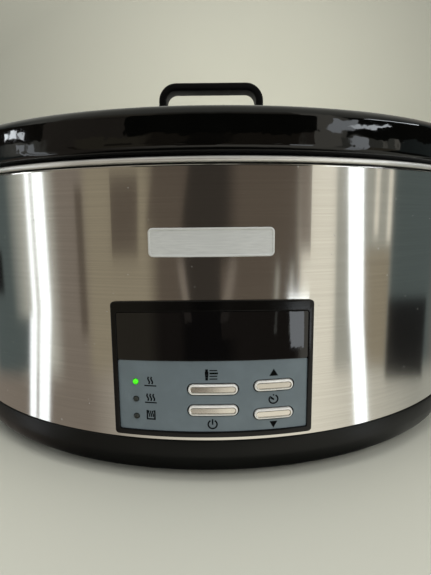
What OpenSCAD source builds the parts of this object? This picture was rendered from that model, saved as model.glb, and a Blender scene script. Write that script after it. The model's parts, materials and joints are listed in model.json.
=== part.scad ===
// Oval slow cooker: steel wrap on a moulded base, sheet heating well, lift-out stoneware crock,
// glass lid and a curved control panel with four push buttons.
// Origin: centre of the footprint on the table. +X right, -Y front, +Z up. Millimetres.

/* [Body] */
// Length of the steel wrap, left to right
body_l = 354; // [336:3:378]
// Depth of the steel wrap, front to back
body_w = 252; // [240:3:270]
// Height of the rolled rim above the table
rim_z = 176.5; // [168:0.5:186]
// Thickness of the steel wrap
wrap_t = 0.8; // [0.6:0.1:1.2]
// Radius of the rolled rim bead
bead_r = 1.5; // [1.3:0.1:2]

/* [Base] */
// Height of the base above the table
base_z = 4; // [3:0.5:6]
// Height of the upper edge of the base
base_top = 25; // [22:0.5:26]
// Height of the crease where the base turns inward
crease_z = 16; // [13:0.5:18]
// How far the base stands proud of the wrap
base_proud = 0.8; // [0.4:0.1:1.5]
// How far the base turns inward below the crease
base_turn = 7.8; // [5:0.2:10]
// Wall of the base moulding
base_t = 2.8; // [2.2:0.1:3.4]
// Width of the base floor, in from the wrap
base_floor_w = 64; // [60:1:68]
// Diameter of a rubber foot
foot_d = 16; // [12:1:18]
// Distance of the feet from the middle, left and right
foot_x = 98; // [90:1:104]
// Thickness of the bottom plate
plate_t = 1.2; // [0.8:0.1:1.5]

/* [Heating well] */
// Space between the wrap and the well at the rim
well_gap = 17; // [15:0.5:18]
// How much narrower the well is at its floor
well_taper = 10; // [7:0.5:12]
// Height of the well floor
well_z = 40; // [38:0.5:44]
// Sheet thickness of the well
well_t = 0.7; // [0.6:0.1:1]
// Radius between the well wall and its floor
well_r = 14; // [10:1:16]
// Height of the heating band
band_h = 36; // [28:1:38]
// Thickness of the heating band
band_t = 1.6; // [1.2:0.1:2]

/* [Crock] */
// Space between the well and the crock
crock_gap = 2.5; // [2:0.1:3.5]
// Wall of the crock
crock_t = 6.5; // [5:0.5:8]
// Height of the collar
collar_h = 24.2; // [22:0.2:28]
// How far the collar stands proud of the wrap
collar_proud = 2.7; // [1.5:0.1:3.5]
// Rounding of the collar's upper edge
collar_r = 6; // [4:0.5:6.5]
// Depth of the ledge for the lid, below the collar's top
ledge_h = 7; // [6:0.5:8]

/* [Lid] */
// Thickness of the glass
glass_t = 4; // [3:0.5:5]
// Height of the glass dome above its rim
dome_h = 22; // [18:1:28]
// Width of the lid handle
grip_w = 74; // [66:1:84]
// Height of the lid handle above the glass
grip_h = 26; // [23:1:32]
// Depth of the lid handle, front to back
grip_d = 14; // [12:0.5:18]
// Thickness of the lid handle's bar
grip_t = 5.5; // [4.5:0.5:7]
// Outer corner radius of the lid handle
grip_r = 13; // [11:0.5:15]

/* [Side handles] */
// Reach of a side handle out from the wrap
side_reach = 36; // [33:1:42]
// Thickness of the side handle's bar
side_bar = 12; // [10:0.5:14]
// Height of the middle of the side handles
side_z = 134; // [120:1:142]
// Half of the angle that a side handle spans
side_half = 30; // [26:1:34]

/* [Control panel] */
// Width of the panel
panel_w = 109.6; // [106:0.2:114]
// Height of the panel's lower edge
panel_z = 27.6; // [27.4:0.2:30]
// Height of the panel
panel_h = 74.6; // [72:0.2:78]
// How far the panel's edges bow upward
panel_bow = 1.2; // [0:0.1:2]
// Width of the panel's frame at its sides
frame_w = 2.9; // [2.4:0.1:3.2]
// Width of the panel's frame at the top
frame_top = 5.7; // [4.5:0.1:6.5]
// Width of the panel's frame at the bottom
frame_low = 3.1; // [2.6:0.1:3.6]
// How far the panel's frame stands proud of the wrap
frame_proud = 1.8; // [1.4:0.1:2.4]
// Height of the display lens
lens_h = 26.4; // [22:0.2:27]
// Distance of the circuit board behind the front of the wrap
board_in = 12.5; // [12:0.1:13]

/* [Buttons] */
// Width of the select and power buttons
wide_w = 26.6; // [22:0.2:28]
// Width of the time buttons
time_w = 21.2; // [18:0.2:23]
// Height of a button
button_h = 5.4; // [4.6:0.2:6.2]
// How far a button stands proud of the overlay
button_proud = 1.3; // [1:0.1:1.6]
// Travel of a button
button_travel = 0.7; // [0.5:0.1:0.9]
// Height of the select button
select_z = 54.9; // [54:0.1:56]
// Height of the power button
power_z = 43; // [42:0.1:44]
// Distance of the time buttons to the right of the middle
time_x = 33; // [32:0.2:34]
// Height of the time up button
up_z = 56.1; // [55:0.1:57]
// Height of the time down button
down_z = 40; // [39:0.1:41]
// Diameter of an indicator lamp
led_d = 3; // [2.4:0.1:3.2]
// Distance of the lamps in from the left side of the panel
led_in = 12.6; // [11:0.2:15]
// Height of the lowest lamp
led_z = 38.5; // [37:0.1:40]
// Pitch of the lamps
led_pitch = 9.9; // [8.5:0.1:10.2]

/* [Badge] */
// Width of the badge plate
badge_w = 65.2; // [58:0.2:70]
// Height of the badge plate
badge_h = 14.9; // [12:0.1:16]
// Height of the middle of the badge plate
badge_z = 133.6; // [128:0.2:140]

/* [Fits] */
// Clearance of a part that slides or lifts out
slide = 0.3; // [0.25:0.05:0.4]
// Clearance between fixed parts
fixed = 0.1; // [0.05:0.05:0.2]
// Diameter of the screws
screw_d = 3; // [2.6:0.2:3.4]

/* [Hidden] */

// The oval has four centres. Its side and end arcs meet on a 20-21-29 right triangle, so both
// centres, both radii and the points where the arcs meet are round numbers.
half_l = body_l/2;
half_w = body_w/2;
end_c = (half_l - half_w)/0.6;
end_r = half_l - end_c;
side_c = end_c*21/20;
side_r = end_r + end_c*29/20;
sector_reach = 9;
top_z = rim_z + collar_h + dome_h + grip_h + 40;

bead_z = rim_z - bead_r;
wrap_top = rim_z - 2*bead_r - fixed;
wrap_z = base_top + slide;
rib_h = 8;
floor_t = 3;
floor_top = base_z + floor_t;
shield_z = well_z - 8;
shield_t = 0.8;
shield_in = 36;
post_x = 88;
post_y = 50;
post_d = 12;
stud_d = 4;
nut_h = 3.2;
nut_d = 8;
band_z = well_z + well_r + 4;
lug_y = half_w + well_out(band_z + band_h/2) + 5;
fuse_z = band_z + band_h + 10;
fuse_y = half_w + well_out(fuse_z) + 3;
fuse_r = 1.9;
fuse_l = 18;
collar_z = rim_z + slide;
collar_top = collar_z + collar_h;
crock_z = well_z + 3;
crock_r = well_r + 2;
crock_floor = crock_z + crock_t + 1;
ledge_z = collar_top - ledge_h;
ledge_out = 6;
ledge_in = 16;
lid_z = ledge_z + slide;
dome_edge = ledge_out + 8;
dome_x = half_l - dome_edge;
dome_y = half_w - dome_edge;
apex_z = lid_z + glass_t + dome_h;
lid_rx = (dome_x*dome_x + dome_h*dome_h)/(2*dome_h);
lid_ry = (dome_y*dome_y + dome_h*dome_h)/(2*dome_h);
hole_x = (grip_w - 12)/2;
seal_r = 7;
washer_r = 6;
seat_z = glass_top(hole_x - seal_r) + 0.05;
under_z = glass_top(hole_x + washer_r) - glass_t - 0.1;
back_t = 2.2;
recess = 0.4;
skin_t = 0.5;
lens_t = 1;
panel_top = panel_z + panel_h;
split_z = panel_top - frame_top - lens_h;
board_y = -half_w + board_in;
board_t = 1.6;
tact_h = 3.5;
housing_w = panel_w - 5.6;
housing_d = 6;
housing_t = 1.2;
tip_y = board_y - tact_h - 1;
flange_t = 1.2;
boss_x = panel_w/2 - 8;
boss_z = [panel_z + 8, panel_top - 8];
gland_z = 44;
gland_d = 12;
cord_d = 7.4;
gland_out = 2.5;
bar_r = side_bar/2;
board_w = 84;
board_l = 54;
board_c = 14;
standoff_h = 6;
board_z = base_z + plate_t + standoff_h;
vent_w = 3;
vent_l = 48;
vent_x = 50;
vent_pitch = 7;
// A screw's thread bites this far into plastic, and its hole in sheet is as much wider
bite = 0.2;
pilot_r = screw_d/2 - bite;
pass_r = screw_d/2 + bite;
shank_r = screw_d/2 - 0.25;
head_h = 1.6;
tower_r = 3.5;
foot_boss_r = 7;
stem_r = foot_d/4;
rebate = 6.5;
plate_screw_xs = [-60, 0, 60];
handle_pitch = side_half - 4;
handle_foot_h = 26;
handle_foot_t = 4;
arm_w = 14;
panel_in = 2.2;
panel_skirt_d = 18;
led_x = panel_w/2 - led_in;
button_rim = 1.3;
slot_rim = 0.9;
flange_out = 1.1;
stem_d = 4;
tact_w = 6;
pin_d = 2.2;
badge_t = 1.1;
badge_rim = 0.7;
display_w = 70;
display_d = 5.5;
display_in = 4.6;
boss_hole_r = 1.1;
screw_hole_r = 1.8;
hole_r = 3.2;

function arc(c, r, a0, a1, n = 6) =
  [for (i = [0:n]) let (a = a0 + (a1 - a0)*i/n) c + r*[cos(a), sin(a)]];
function unit(v) = v/norm(v);
function left_of(a, b) = let (d = unit(b - a)) [-d[1], d[0]];
// The points of an open path moved sideways by t
function beside(p, t) = let (last = len(p) - 1) [for (i = [0:last])
  let (n0 = left_of(p[max(i - 1, 0)], p[max(i, 1)]),
       n1 = left_of(p[min(i, last - 1)], p[min(i + 1, last)]),
       m = unit(n0 + n1)) p[i] + m*t/(m*n0)];
function reversed(p) = [for (i = [len(p) - 1:-1:0]) p[i]];
// The closed section of a sheet of thickness t that follows an open path
function sheet(p, t) = concat(p, reversed(beside(p, t)));
// Depth of the front of the oval at x, for an offset out from the wrap
function front_y(x, off = 0) = side_c - sqrt(pow(side_r + off, 2) - x*x);
// Offset of the well's inner face at a height
function well_in(z) = -(well_gap + well_taper*(rim_z - z)/(rim_z - well_z));
function well_out(z) = well_in(z) + well_t*1.01;
function crock_out(z) = well_in(z) - crock_gap;
function crock_in(z) = crock_out(z) - crock_t;
// The inner points of an edge at height z, bowed up by bow, from x = -h to x = h
function bowed(h, z, bow) = [for (i = bow == 0 ? [] : [1:7])
  let (x = h*(i/4 - 1)) [x, z + bow*(1 - pow(x/h, 2))]];
// Height of the glass above the middle line of the lid at x
function glass_top(x) = apex_z - lid_rx + sqrt(lid_rx*lid_rx - x*x);
// Outline of a plate with rounded corners; its upper and lower edges may bow up
function plate(w, z0, z1, r, bow = 0, low_bow = 0) = let (h = w/2 - r) concat(
  arc([-h, z0 + r], r, 180, 270, 4), bowed(h, z0, low_bow), arc([h, z0 + r], r, -90, 0, 4),
  arc([h, z1 - r], r, 0, 90, 4), reversed(bowed(h, z1, bow)), arc([-h, z1 - r], r, 90, 180, 4));
function pill(w, h) = concat(arc([w/2 - h/2, 0], h/2, -90, 90, 8), arc([-w/2 + h/2, 0], h/2, 90, 270, 8));

// The four sectors of the oval, which meet on the lines through its centres and reach past its edge
module side_sector(s) {
  x = sector_reach*end_c;
  y = (sector_reach - 1)*side_c;
  polygon([[-end_c, 0], [end_c, 0], [x, -s*y], [-x, -s*y]]);
}
module end_sector(s) {
  x = s*sector_reach*end_c;
  y = (sector_reach - 1)*side_c;
  polygon([[s*end_c, 0], [x, -y], [x, y]]);
}
module prism(h = top_z) {
  linear_extrude(h) children();
}

// Sweeps a section round the oval; its points are [offset out from the wrap, height]
module oval_sweep(section) {
  for (s = [-1, 1]) {
    intersection() {
      translate([0, s*side_c, 0]) rotate_extrude($fn = 180)
        polygon([for (p = section) [side_r + p[0], p[1]]]);
      prism() side_sector(s);
    }
    intersection() {
      translate([s*end_c, 0, 0]) rotate_extrude($fn = 120)
        polygon([for (p = section) [end_r + p[0], p[1]]]);
      prism() end_sector(s);
    }
  }
}

// A flat oval plate between two heights
module oval_plate(off, z0, z1) {
  translate([0, 0, z0]) linear_extrude(z1 - z0) for (s = [-1, 1]) {
    intersection() {
      translate([0, s*side_c]) circle(r = side_r + off, $fn = 180);
      side_sector(s);
    }
    intersection() {
      translate([s*end_c, 0]) circle(r = end_r + off, $fn = 120);
      end_sector(s);
    }
  }
}

// A 2D outline in x and z, pressed through the curved front between two offsets
module on_front(o0, o1) {
  reach = 18;
  intersection() {
    difference() {
      translate([0, side_c, 0]) cylinder(r = side_r + o1, h = top_z, $fn = 360);
      translate([0, side_c, -1]) cylinder(r = side_r + o0, h = top_z + 2, $fn = 360);
    }
    translate([0, -half_w + reach, 0]) rotate([90, 0, 0]) linear_extrude(reach + 4) children();
  }
}

module at_corners(x, y) {
  for (i = [-1, 1], j = [-1, 1]) translate([i*x, j*y, 0]) children();
}
module tube(r, r_in, z0, z1) {
  translate([0, 0, z0]) difference() {
    cylinder(r = r, h = z1 - z0, $fn = 48);
    translate([0, 0, -1]) cylinder(r = r_in, h = z1 - z0 + 2, $fn = 48);
  }
}
// A screw or rod that points away from the viewer of the front, its head at y
module front_pin(x, z, r, y0, y1) {
  translate([x, y0, z]) rotate([-90, 0, 0]) cylinder(r = r, h = y1 - y0, $fn = 40);
}

module foot_places() {
  foot_off = base_proud - base_turn - foot_d/2 - 3;
  for (i = [-1, 1], j = [-1, 1]) translate([i*foot_x, j*front_y(foot_x, foot_off), 0]) children();
}
module plate_screw_places() {
  off = -base_floor_w + 3;
  for (j = [-1, 1], x = plate_screw_xs) translate([x, j*front_y(x, off), 0]) children();
}

module base_housing() {
  turn = [for (t = [30:12:90]) [base_proud - base_turn*(1 - cos(t)/cos(30)),
    crease_z - (crease_z - base_z)*(2*sin(t) - 1)]];
  rib = -wrap_t - slide;
  color([0.06, 0.06, 0.065]) difference() {
    union() {
      oval_sweep(concat([[rib - base_t + 0.6, base_top + rib_h], [rib, base_top + rib_h], [rib, base_top],
        [base_proud - 0.4, base_top], [base_proud, base_top - 0.4]], turn,
        [[-base_floor_w, base_z], [-base_floor_w, floor_top], [base_proud - base_turn - 2, floor_top],
        [base_proud - base_t - 3, crease_z - 6], [base_proud - base_t - 1.2, crease_z]]));
      at_corners(post_x, post_y) tube(post_d/2, stud_d/2 + slide, base_z, shield_z);
      plate_screw_places() tube(tower_r, pilot_r, base_z + plate_t, floor_top + 4);
      foot_places() tube(foot_boss_r, stem_r + fixed, base_z, floor_top + 2);
    }
    // rebate for the bottom plate, with its screws
    oval_plate(-base_floor_w + rebate, base_z - 1, base_z + plate_t);
    plate_screw_places() translate([0, 0, base_z]) cylinder(r = pilot_r, h = 20, $fn = 32);
    // wells for the nuts of the posts, and the stems of the feet
    at_corners(post_x, post_y) {
      translate([0, 0, base_z - 1]) cylinder(r = nut_d/2 + slide, h = nut_h + 3, $fn = 40);
      translate([0, 0, base_z - 1]) cylinder(r = stud_d/2 + slide, h = shield_z, $fn = 40);
    }
    foot_places() translate([0, 0, base_z - 1]) cylinder(r = stem_r + fixed, h = 20, $fn = 40);
    // the rib stops on both sides of the control panel
    translate([-panel_w/2 - 1, -half_w + 0.5, base_top]) cube([panel_w + 2, 16, rib_h + 2]);
  }
}

module bottom_plate() {
  color([0.62, 0.63, 0.64]) difference() {
    oval_plate(-base_floor_w + rebate - slide, base_z, base_z + plate_t - fixed);
    plate_screw_places() cylinder(r = pass_r, h = top_z, $fn = 40);
    // slots that grow shorter away from the third one
    for (s = [-1, 1], i = [0:6]) let (l = vent_l - 4*abs(i - 2))
      translate([s*(vent_x + vent_pitch*i), -l/2, 0]) cube([vent_w, l, 20]);
    at_board() cylinder(r = pass_r, h = top_z, $fn = 40);
  }
}

module bottom_screw(l) {
  translate([0, 0, base_z - head_h]) cylinder(r1 = screw_d*0.7, r2 = screw_d, h = head_h, $fn = 40);
  translate([0, 0, base_z - 0.2]) cylinder(r = shank_r, h = l, $fn = 40);
}
module bottom_screws() {
  color([0.7, 0.7, 0.7]) {
    plate_screw_places() bottom_screw(9);
    at_board() bottom_screw(4);
  }
}

module rubber_feet() {
  color([0.62, 0.64, 0.66]) foot_places() {
    cylinder(r1 = foot_d/2 - 1, r2 = foot_d/2, h = 1.2, $fn = 48);
    translate([0, 0, 1.2]) cylinder(r = foot_d/2, h = base_z - 1.2, $fn = 48);
    cylinder(r = stem_r, h = floor_top + 2, $fn = 40);
  }
}

module steel_wrap() {
  color([0.68, 0.67, 0.65]) difference() {
    oval_sweep([[-wrap_t, wrap_z], [0, wrap_z], [0, wrap_top], [-wrap_t, wrap_top]]);
    translate([0, -half_w + panel_skirt_d, 0]) rotate([90, 0, 0]) linear_extrude(30)
      polygon(plate(panel_w - 2*panel_in, panel_z + panel_in, panel_top - panel_in, 1.5, panel_bow));
    for (x = [-1, 1]) front_pin(x*badge_w/3, badge_z, 1.3, -half_w - 5, -half_w + 20);
    front_pin(0, gland_z, gland_d/2 + fixed, half_w - 10, half_w + 5);
    handle_screw_places() translate([0, 0, -10]) cylinder(r = screw_d/2 + 0.4, h = 20, $fn = 32);
  }
}

module heating_well() {
  c_in = well_in(well_z) - well_r;
  color([0.75, 0.75, 0.74]) union() {
      oval_sweep(sheet(concat([[c_in - 6, well_z]], arc([c_in, well_z + well_r], well_r, -90, 0, 6),
        arc([well_in(rim_z) + 4, rim_z - 4], 4, 180, 90, 5),
        arc([-wrap_t/2, bead_z], bead_r, 90, -150, 12)), -well_t));
      oval_plate(c_in - 3, well_z - well_t, well_z);
  }
}

module well_studs() {
  color([0.72, 0.72, 0.72]) at_corners(post_x, post_y)
    translate([0, 0, base_z + 1]) cylinder(r = stud_d/2, h = well_z - well_t - base_z - 1, $fn = 40);
}
module well_spacers() {
  color([0.7, 0.7, 0.7]) at_corners(post_x, post_y)
    tube(4.5, stud_d/2 + slide, shield_z + shield_t, well_z - well_t);
}
module well_nuts() {
  color([0.7, 0.7, 0.7]) at_corners(post_x, post_y) difference() {
    translate([0, 0, base_z + 2]) cylinder(r = nut_d/2, h = nut_h - 1, $fn = 6);
    translate([0, 0, base_z]) cylinder(r = stud_d/2, h = 10, $fn = 40);
  }
}

module heat_shield() {
  color([0.8, 0.8, 0.8]) difference() {
    union() {
      oval_plate(-shield_in, shield_z, shield_z + shield_t);
      oval_sweep(sheet([[-shield_in - 4, shield_z], [-shield_in, shield_z],
        [-shield_in + 3, shield_z + 5]], shield_t));
    }
    at_corners(post_x, post_y) cylinder(r = stud_d/2 + slide, h = top_z, $fn = 40);
  }
}

module heating_band() {
  o = 0.2;
  z1 = band_z + band_h;
  color([0.55, 0.52, 0.46]) difference() {
    union() {
      oval_sweep([[well_out(band_z) + o, band_z], [well_out(band_z) + o + band_t, band_z],
        [well_out(z1) + o + band_t, z1], [well_out(z1) + o, z1]]);
      for (s = [-1, 1]) translate([s*8 - 1, lug_y - 5, band_z + band_h/2 - 6]) cube([2, 9, 12]);
    }
    translate([-7, half_w - 40, band_z - 1]) cube([14, 50, band_h + 2]);
    translate([-12, lug_y, band_z + band_h/2]) rotate([0, 90, 0]) cylinder(r = 1.7, h = 24, $fn = 32);
  }
}

module band_bolt() {
  color([0.7, 0.7, 0.7]) translate([0, lug_y, band_z + band_h/2]) rotate([0, 90, 0]) {
    translate([0, 0, -12]) cylinder(r = 1.5, h = 23, $fn = 32);
    for (z = [-12.4, 9.2]) translate([0, 0, z]) cylinder(r = 3, h = 3, $fn = 6);
  }
}

module thermal_fuse() {
  color([0.85, 0.85, 0.8]) translate([-fuse_l/2, fuse_y, fuse_z]) rotate([0, 90, 0])
    cylinder(r = fuse_r, h = fuse_l, $fn = 32);
}
module fuse_clip() {
  color([0.7, 0.7, 0.7]) difference() {
    translate([-3, fuse_y - 2.4, fuse_z - 4]) cube([6, 5.4, 8]);
    translate([-5, fuse_y, fuse_z]) rotate([0, 90, 0]) cylinder(r = fuse_r + fixed, h = 10, $fn = 32);
  }
}

module temperature_sensor() {
  color([0.8, 0.75, 0.6]) translate([30, 0, well_z - well_t - 5]) cylinder(r = 5, h = 4.9, $fn = 40);
}

module cord_gland() {
  color([0.08, 0.08, 0.085]) difference() {
    union() {
      front_pin(0, gland_z, gland_d/2, half_w - 10, half_w + 1);
      front_pin(0, gland_z, gland_d/2 + 3, half_w + 0.2, half_w + gland_out);
    }
    front_pin(0, gland_z, cord_d/2, half_w - 12, half_w + gland_out + 2);
  }
}
module gland_nut() {
  color([0.1, 0.1, 0.1]) translate([0, half_w - 5.2, gland_z]) rotate([-90, 0, 0]) difference() {
    cylinder(r = gland_d/2 + 3, h = 4, $fn = 6);
    translate([0, 0, -1]) cylinder(r = gland_d/2 + fixed, h = 6, $fn = 40);
  }
}

module at_board() {
  translate([0, board_c, 0]) at_corners(board_w/2 - 4, board_l/2 - 4) children();
}
module power_board() {
  color([0.75, 0.68, 0.45]) difference() {
    translate([-board_w/2, board_c - board_l/2, board_z]) cube([board_w, board_l, board_t]);
    at_board() cylinder(r = pass_r, h = top_z, $fn = 32);
  }
}
module board_standoffs() {
  color([0.9, 0.9, 0.88]) at_board() {
    tube(3, pilot_r, base_z + plate_t, board_z);
    translate([0, 0, board_z - 1]) cylinder(r = screw_d/2 - 0.1, h = board_t + 2, $fn = 32);
    translate([0, 0, board_z + board_t]) cylinder(r = 3, h = 1.2, $fn = 32);
  }
}
module relay() {
  color([0.1, 0.25, 0.5]) translate([-32, board_c - 12, board_z + board_t]) cube([19, 15.5, 15]);
}
module capacitor() {
  color([0.75, 0.6, 0.15]) translate([-6, board_c - 16, board_z + board_t]) cube([8, 18, 14]);
}
module terminal_block() {
  color([0.2, 0.5, 0.3]) difference() {
    translate([12, board_c - 8, board_z + board_t]) cube([20, 11, 10]);
    for (i = [0:2]) translate([15.3 + 6.7*i, board_c - 3, board_z + board_t + 5])
      cylinder(r = 2, h = 6, $fn = 24);
  }
}

module handle_screw_places() {
  for (s = [0, 180], a = [-1, 1]) rotate([0, 0, s]) translate([end_c, 0, side_z])
    rotate([0, 0, a*handle_pitch]) rotate([0, 90, 0]) translate([0, 0, end_r]) children();
}
module side_handle() {
  o = end_r + fixed;
  g = end_r + side_reach - bar_r;
  h = handle_foot_h/2;
  t = handle_foot_t;
  edge = 1.5;
  color([0.06, 0.06, 0.065]) translate([end_c, 0, 0]) difference() {
    union() {
      // grip bar with rounded edges
      rotate_extrude(angle = 2*side_half, start = -side_half, $fn = 120)
        polygon([for (i = [0:3]) let (u = [1, -1, -1, 1][i], v = [1, 1, -1, -1][i])
          each arc([g + u*bar_r/3, side_z + v*bar_r/3], bar_r*2/3, 90*i, 90*i + 90, 4)]);
      // foot plate against the wrap
      rotate_extrude(angle = 2*side_half + 8, start = -side_half - 4, $fn = 120)
        polygon([[o, side_z - h], [o + t - edge, side_z - h], [o + t, side_z - h + edge],
          [o + t, side_z + h - edge], [o + t - edge, side_z + h], [o, side_z + h]]);
      // arms, with a round boss where they meet the foot plate
      for (a = [-1, 1]) rotate([0, 0, a*handle_pitch]) {
        translate([o + t/2, -arm_w/2, side_z - bar_r]) cube([side_reach - bar_r - t/2, arm_w, side_bar]);
        translate([o + t/2, 0, side_z]) rotate([0, 90, 0]) cylinder(r = arm_w/2 + 2, h = 6, $fn = 48);
      }
    }
    for (a = [-1, 1]) rotate([0, 0, a*handle_pitch]) translate([end_r - 1, 0, side_z]) rotate([0, 90, 0])
      cylinder(r = pilot_r, h = 16, $fn = 32);
  }
}
module side_handle_right() {
  side_handle();
}
module side_handle_left() {
  rotate([0, 0, 180]) side_handle();
}
module handle_screws() {
  color([0.7, 0.7, 0.7]) handle_screw_places() {
    translate([0, 0, -wrap_t - 3.4]) cylinder(r = screw_d, h = 2, $fn = 32);
    translate([0, 0, -wrap_t - 1.5]) cylinder(r = shank_r, h = 14, $fn = 32);
  }
}

module badge_plate() {
  low = badge_z - badge_h/2;
  face = plate(badge_w, low, low + badge_h, 2.4);
  color([0.8, 0.8, 0.8]) {
    on_front(fixed, badge_t) polygon(face);
    on_front(badge_t - 0.1, badge_t + 0.5)
      polygon(plate(badge_w - 2*badge_rim, low + badge_rim, low + badge_h - badge_rim, 1.8));
    for (x = [-1, 1])
      front_pin(x*badge_w/3, badge_z, pin_d/2, front_y(badge_w/3) - 0.5, front_y(badge_w/3) + 4);
  }
}
module badge_clips() {
  y = front_y(badge_w/3 - 4) + wrap_t;
  color([0.6, 0.6, 0.6]) for (x = [-1, 1]) difference() {
    front_pin(x*badge_w/3, badge_z, 3.5, y + 1.4, y + 2.2);
    front_pin(x*badge_w/3, badge_z, pin_d/2 + fixed/2, y, y + 5);
  }
}

// Places of the buttons: [x, z, width]
select_at = [0, select_z, wide_w];
power_at = [0, power_z, wide_w];
up_at = [time_x, up_z, time_w];
down_at = [time_x, down_z, time_w];
buttons = [select_at, power_at, up_at, down_at];
led_heights = [for (i = [2:-1:0]) led_z + i*led_pitch];

module button_shape(b, more = 0) {
  translate([b[0], b[1]]) polygon(pill(b[2] + 2*more, button_h + 2*more));
}

module panel_bezel() {
  in = panel_in + fixed;
  color([0.03, 0.03, 0.035]) difference() {
    union() {
      on_front(fixed, frame_proud) polygon(plate(panel_w, panel_z, panel_top, 2, panel_bow));
      on_front(-back_t, recess) polygon(plate(panel_w - 2*in, panel_z + in, panel_top - in, 1.4, panel_bow));
      for (x = [-1, 1], z = boss_z) front_pin(x*boss_x, z, 3.2, front_y(boss_x, -0.6), board_y);
    }
    // recess for the lens and the overlay
    difference() {
      on_front(recess, frame_proud + 1)
        polygon(plate(panel_w - 2*frame_w, panel_z + frame_low, panel_top - frame_top, 1.2, panel_bow));
      for (b = buttons) on_front(0, recess + skin_t + 0.3) button_shape(b, slot_rim);
    }
    // window, button slots, lamp holes and screw holes
    translate([-display_w/2 - 1, -half_w - 4, split_z + display_in - 0.6])
      cube([display_w + 2, panel_skirt_d, lens_h - 2*display_in + 1.2]);
    for (b = buttons) translate([0, -half_w + panel_skirt_d, 0]) rotate([90, 0, 0])
      linear_extrude(24) button_shape(b, slide);
    for (z = led_heights) front_pin(-led_x, z, led_d/2 + 0.15, -half_w - 5, board_y - 0.5);
    for (x = [-1, 1], z = boss_z) front_pin(x*boss_x, z, boss_hole_r, front_y(boss_x) + 2.5, board_y + 1);
  }
}
module display_lens() {
  color([0.01, 0.01, 0.012]) on_front(recess + fixed/2, recess + lens_t)
    polygon(plate(panel_w - 2*frame_w - 2*fixed, split_z + fixed, panel_top - frame_top - fixed, 1.1,
      panel_bow, panel_bow/2));
}
module panel_overlay() {
  color([0.42, 0.48, 0.52]) difference() {
    on_front(recess + fixed/2, recess + skin_t)
      polygon(plate(panel_w - 2*frame_w - 2*fixed, panel_z + frame_low + fixed, split_z, 1.1, panel_bow/2));
    for (b = buttons) on_front(0, 4) button_shape(b, slot_rim + fixed);
    for (z = led_heights) front_pin(-led_x, z, led_d/2 + 0.2, -half_w - 5, -half_w + panel_skirt_d);
  }
}
module display_module() {
  color([0.2, 0.22, 0.2]) translate([-display_w/2, board_y - display_d, split_z + display_in])
    cube([display_w, display_d, lens_h - 2*display_in]);
}
module control_board() {
  w = housing_w - 2*housing_t - 2*slide;
  color([0.1, 0.35, 0.2]) difference() {
    translate([-w/2, board_y, panel_z + 4]) cube([w, board_t, panel_h - 8]);
    for (x = [-1, 1], z = boss_z) front_pin(x*boss_x, z, 1.4, board_y - 1, board_y + 3);
  }
}
module board_screws() {
  y = board_y + housing_d;
  color([0.7, 0.7, 0.7]) for (x = [-1, 1], z = boss_z) {
    front_pin(x*boss_x, z, 1.05, board_y - 3.4, y + 0.2);
    front_pin(x*boss_x, z, 2.4, y, y + 1.2);
  }
}
module panel_housing() {
  z0 = panel_z + 3;
  h = panel_h - 6;
  color([0.1, 0.1, 0.11]) difference() {
    union() {
      difference() {
        translate([-housing_w/2, board_y - 2, z0]) cube([housing_w, housing_d + 2, h]);
        translate([-housing_w/2 + housing_t, board_y - 3, z0 + 0.7])
          cube([housing_w - 2*housing_t, housing_d + 3 - housing_t, h - 1.4]);
      }
      for (x = [-1, 1], z = boss_z) front_pin(x*boss_x, z, 3, board_y + board_t, board_y + housing_d - 0.5);
    }
    for (x = [-1, 1], z = boss_z) front_pin(x*boss_x, z, 1.3, board_y, board_y + housing_d + 1);
  }
}
module tact_switches() {
  color([0.15, 0.15, 0.15]) for (b = buttons) difference() {
    translate([b[0] - tact_w/2, board_y - tact_h, b[1] - tact_w/2]) cube([tact_w, tact_h, tact_w]);
    front_pin(b[0], b[1], stem_d/2, board_y - tact_h - 1, board_y - 0.8);
  }
}

module led(z, tint) {
  y0 = front_y(led_x, recess + skin_t);
  color(tint) {
    translate([-led_x, y0, z]) sphere(r = led_d/2, $fn = 32);
    front_pin(-led_x, z, led_d/2, y0, y0 + 3.6);
    front_pin(-led_x, z, led_d/2 + 0.1, y0 + 3.5, board_y);
  }
}
module led_low() { led(led_heights[0], [0.1, 1, 0.1]); }
module led_high() { led(led_heights[1], [0.25, 0.27, 0.25]); }
module led_warm() { led(led_heights[2], [0.25, 0.27, 0.25]); }

module push_button(b) {
  face = recess + skin_t + button_proud;
  stem_y = front_y(b[0], -back_t - slide - flange_t/2);
  color([0.78, 0.75, 0.7]) {
    difference() {
      union() {
        on_front(-back_t - slide - 0.1, face - 0.5) button_shape(b);
        on_front(face - 0.6, face) button_shape(b, -0.45);
      }
      on_front(face - 0.35, face + 1) button_shape(b, -button_rim);
    }
    on_front(-back_t - slide - flange_t, -back_t - slide) button_shape(b, flange_out);
    front_pin(b[0], b[1], stem_d/2, stem_y, tip_y);
  }
}
module plunger(b) {
  color([0.9, 0.88, 0.8]) front_pin(b[0], b[1], stem_d/2 - slide, tip_y, board_y - 0.9 - button_travel);
}
module select_button() { push_button(select_at); }
module power_button() { push_button(power_at); }
module time_up_button() { push_button(up_at); }
module time_down_button() { push_button(down_at); }
module select_plunger() { plunger(select_at); }
module power_plunger() { plunger(power_at); }
module time_up_plunger() { plunger(up_at); }
module time_down_plunger() { plunger(down_at); }

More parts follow.
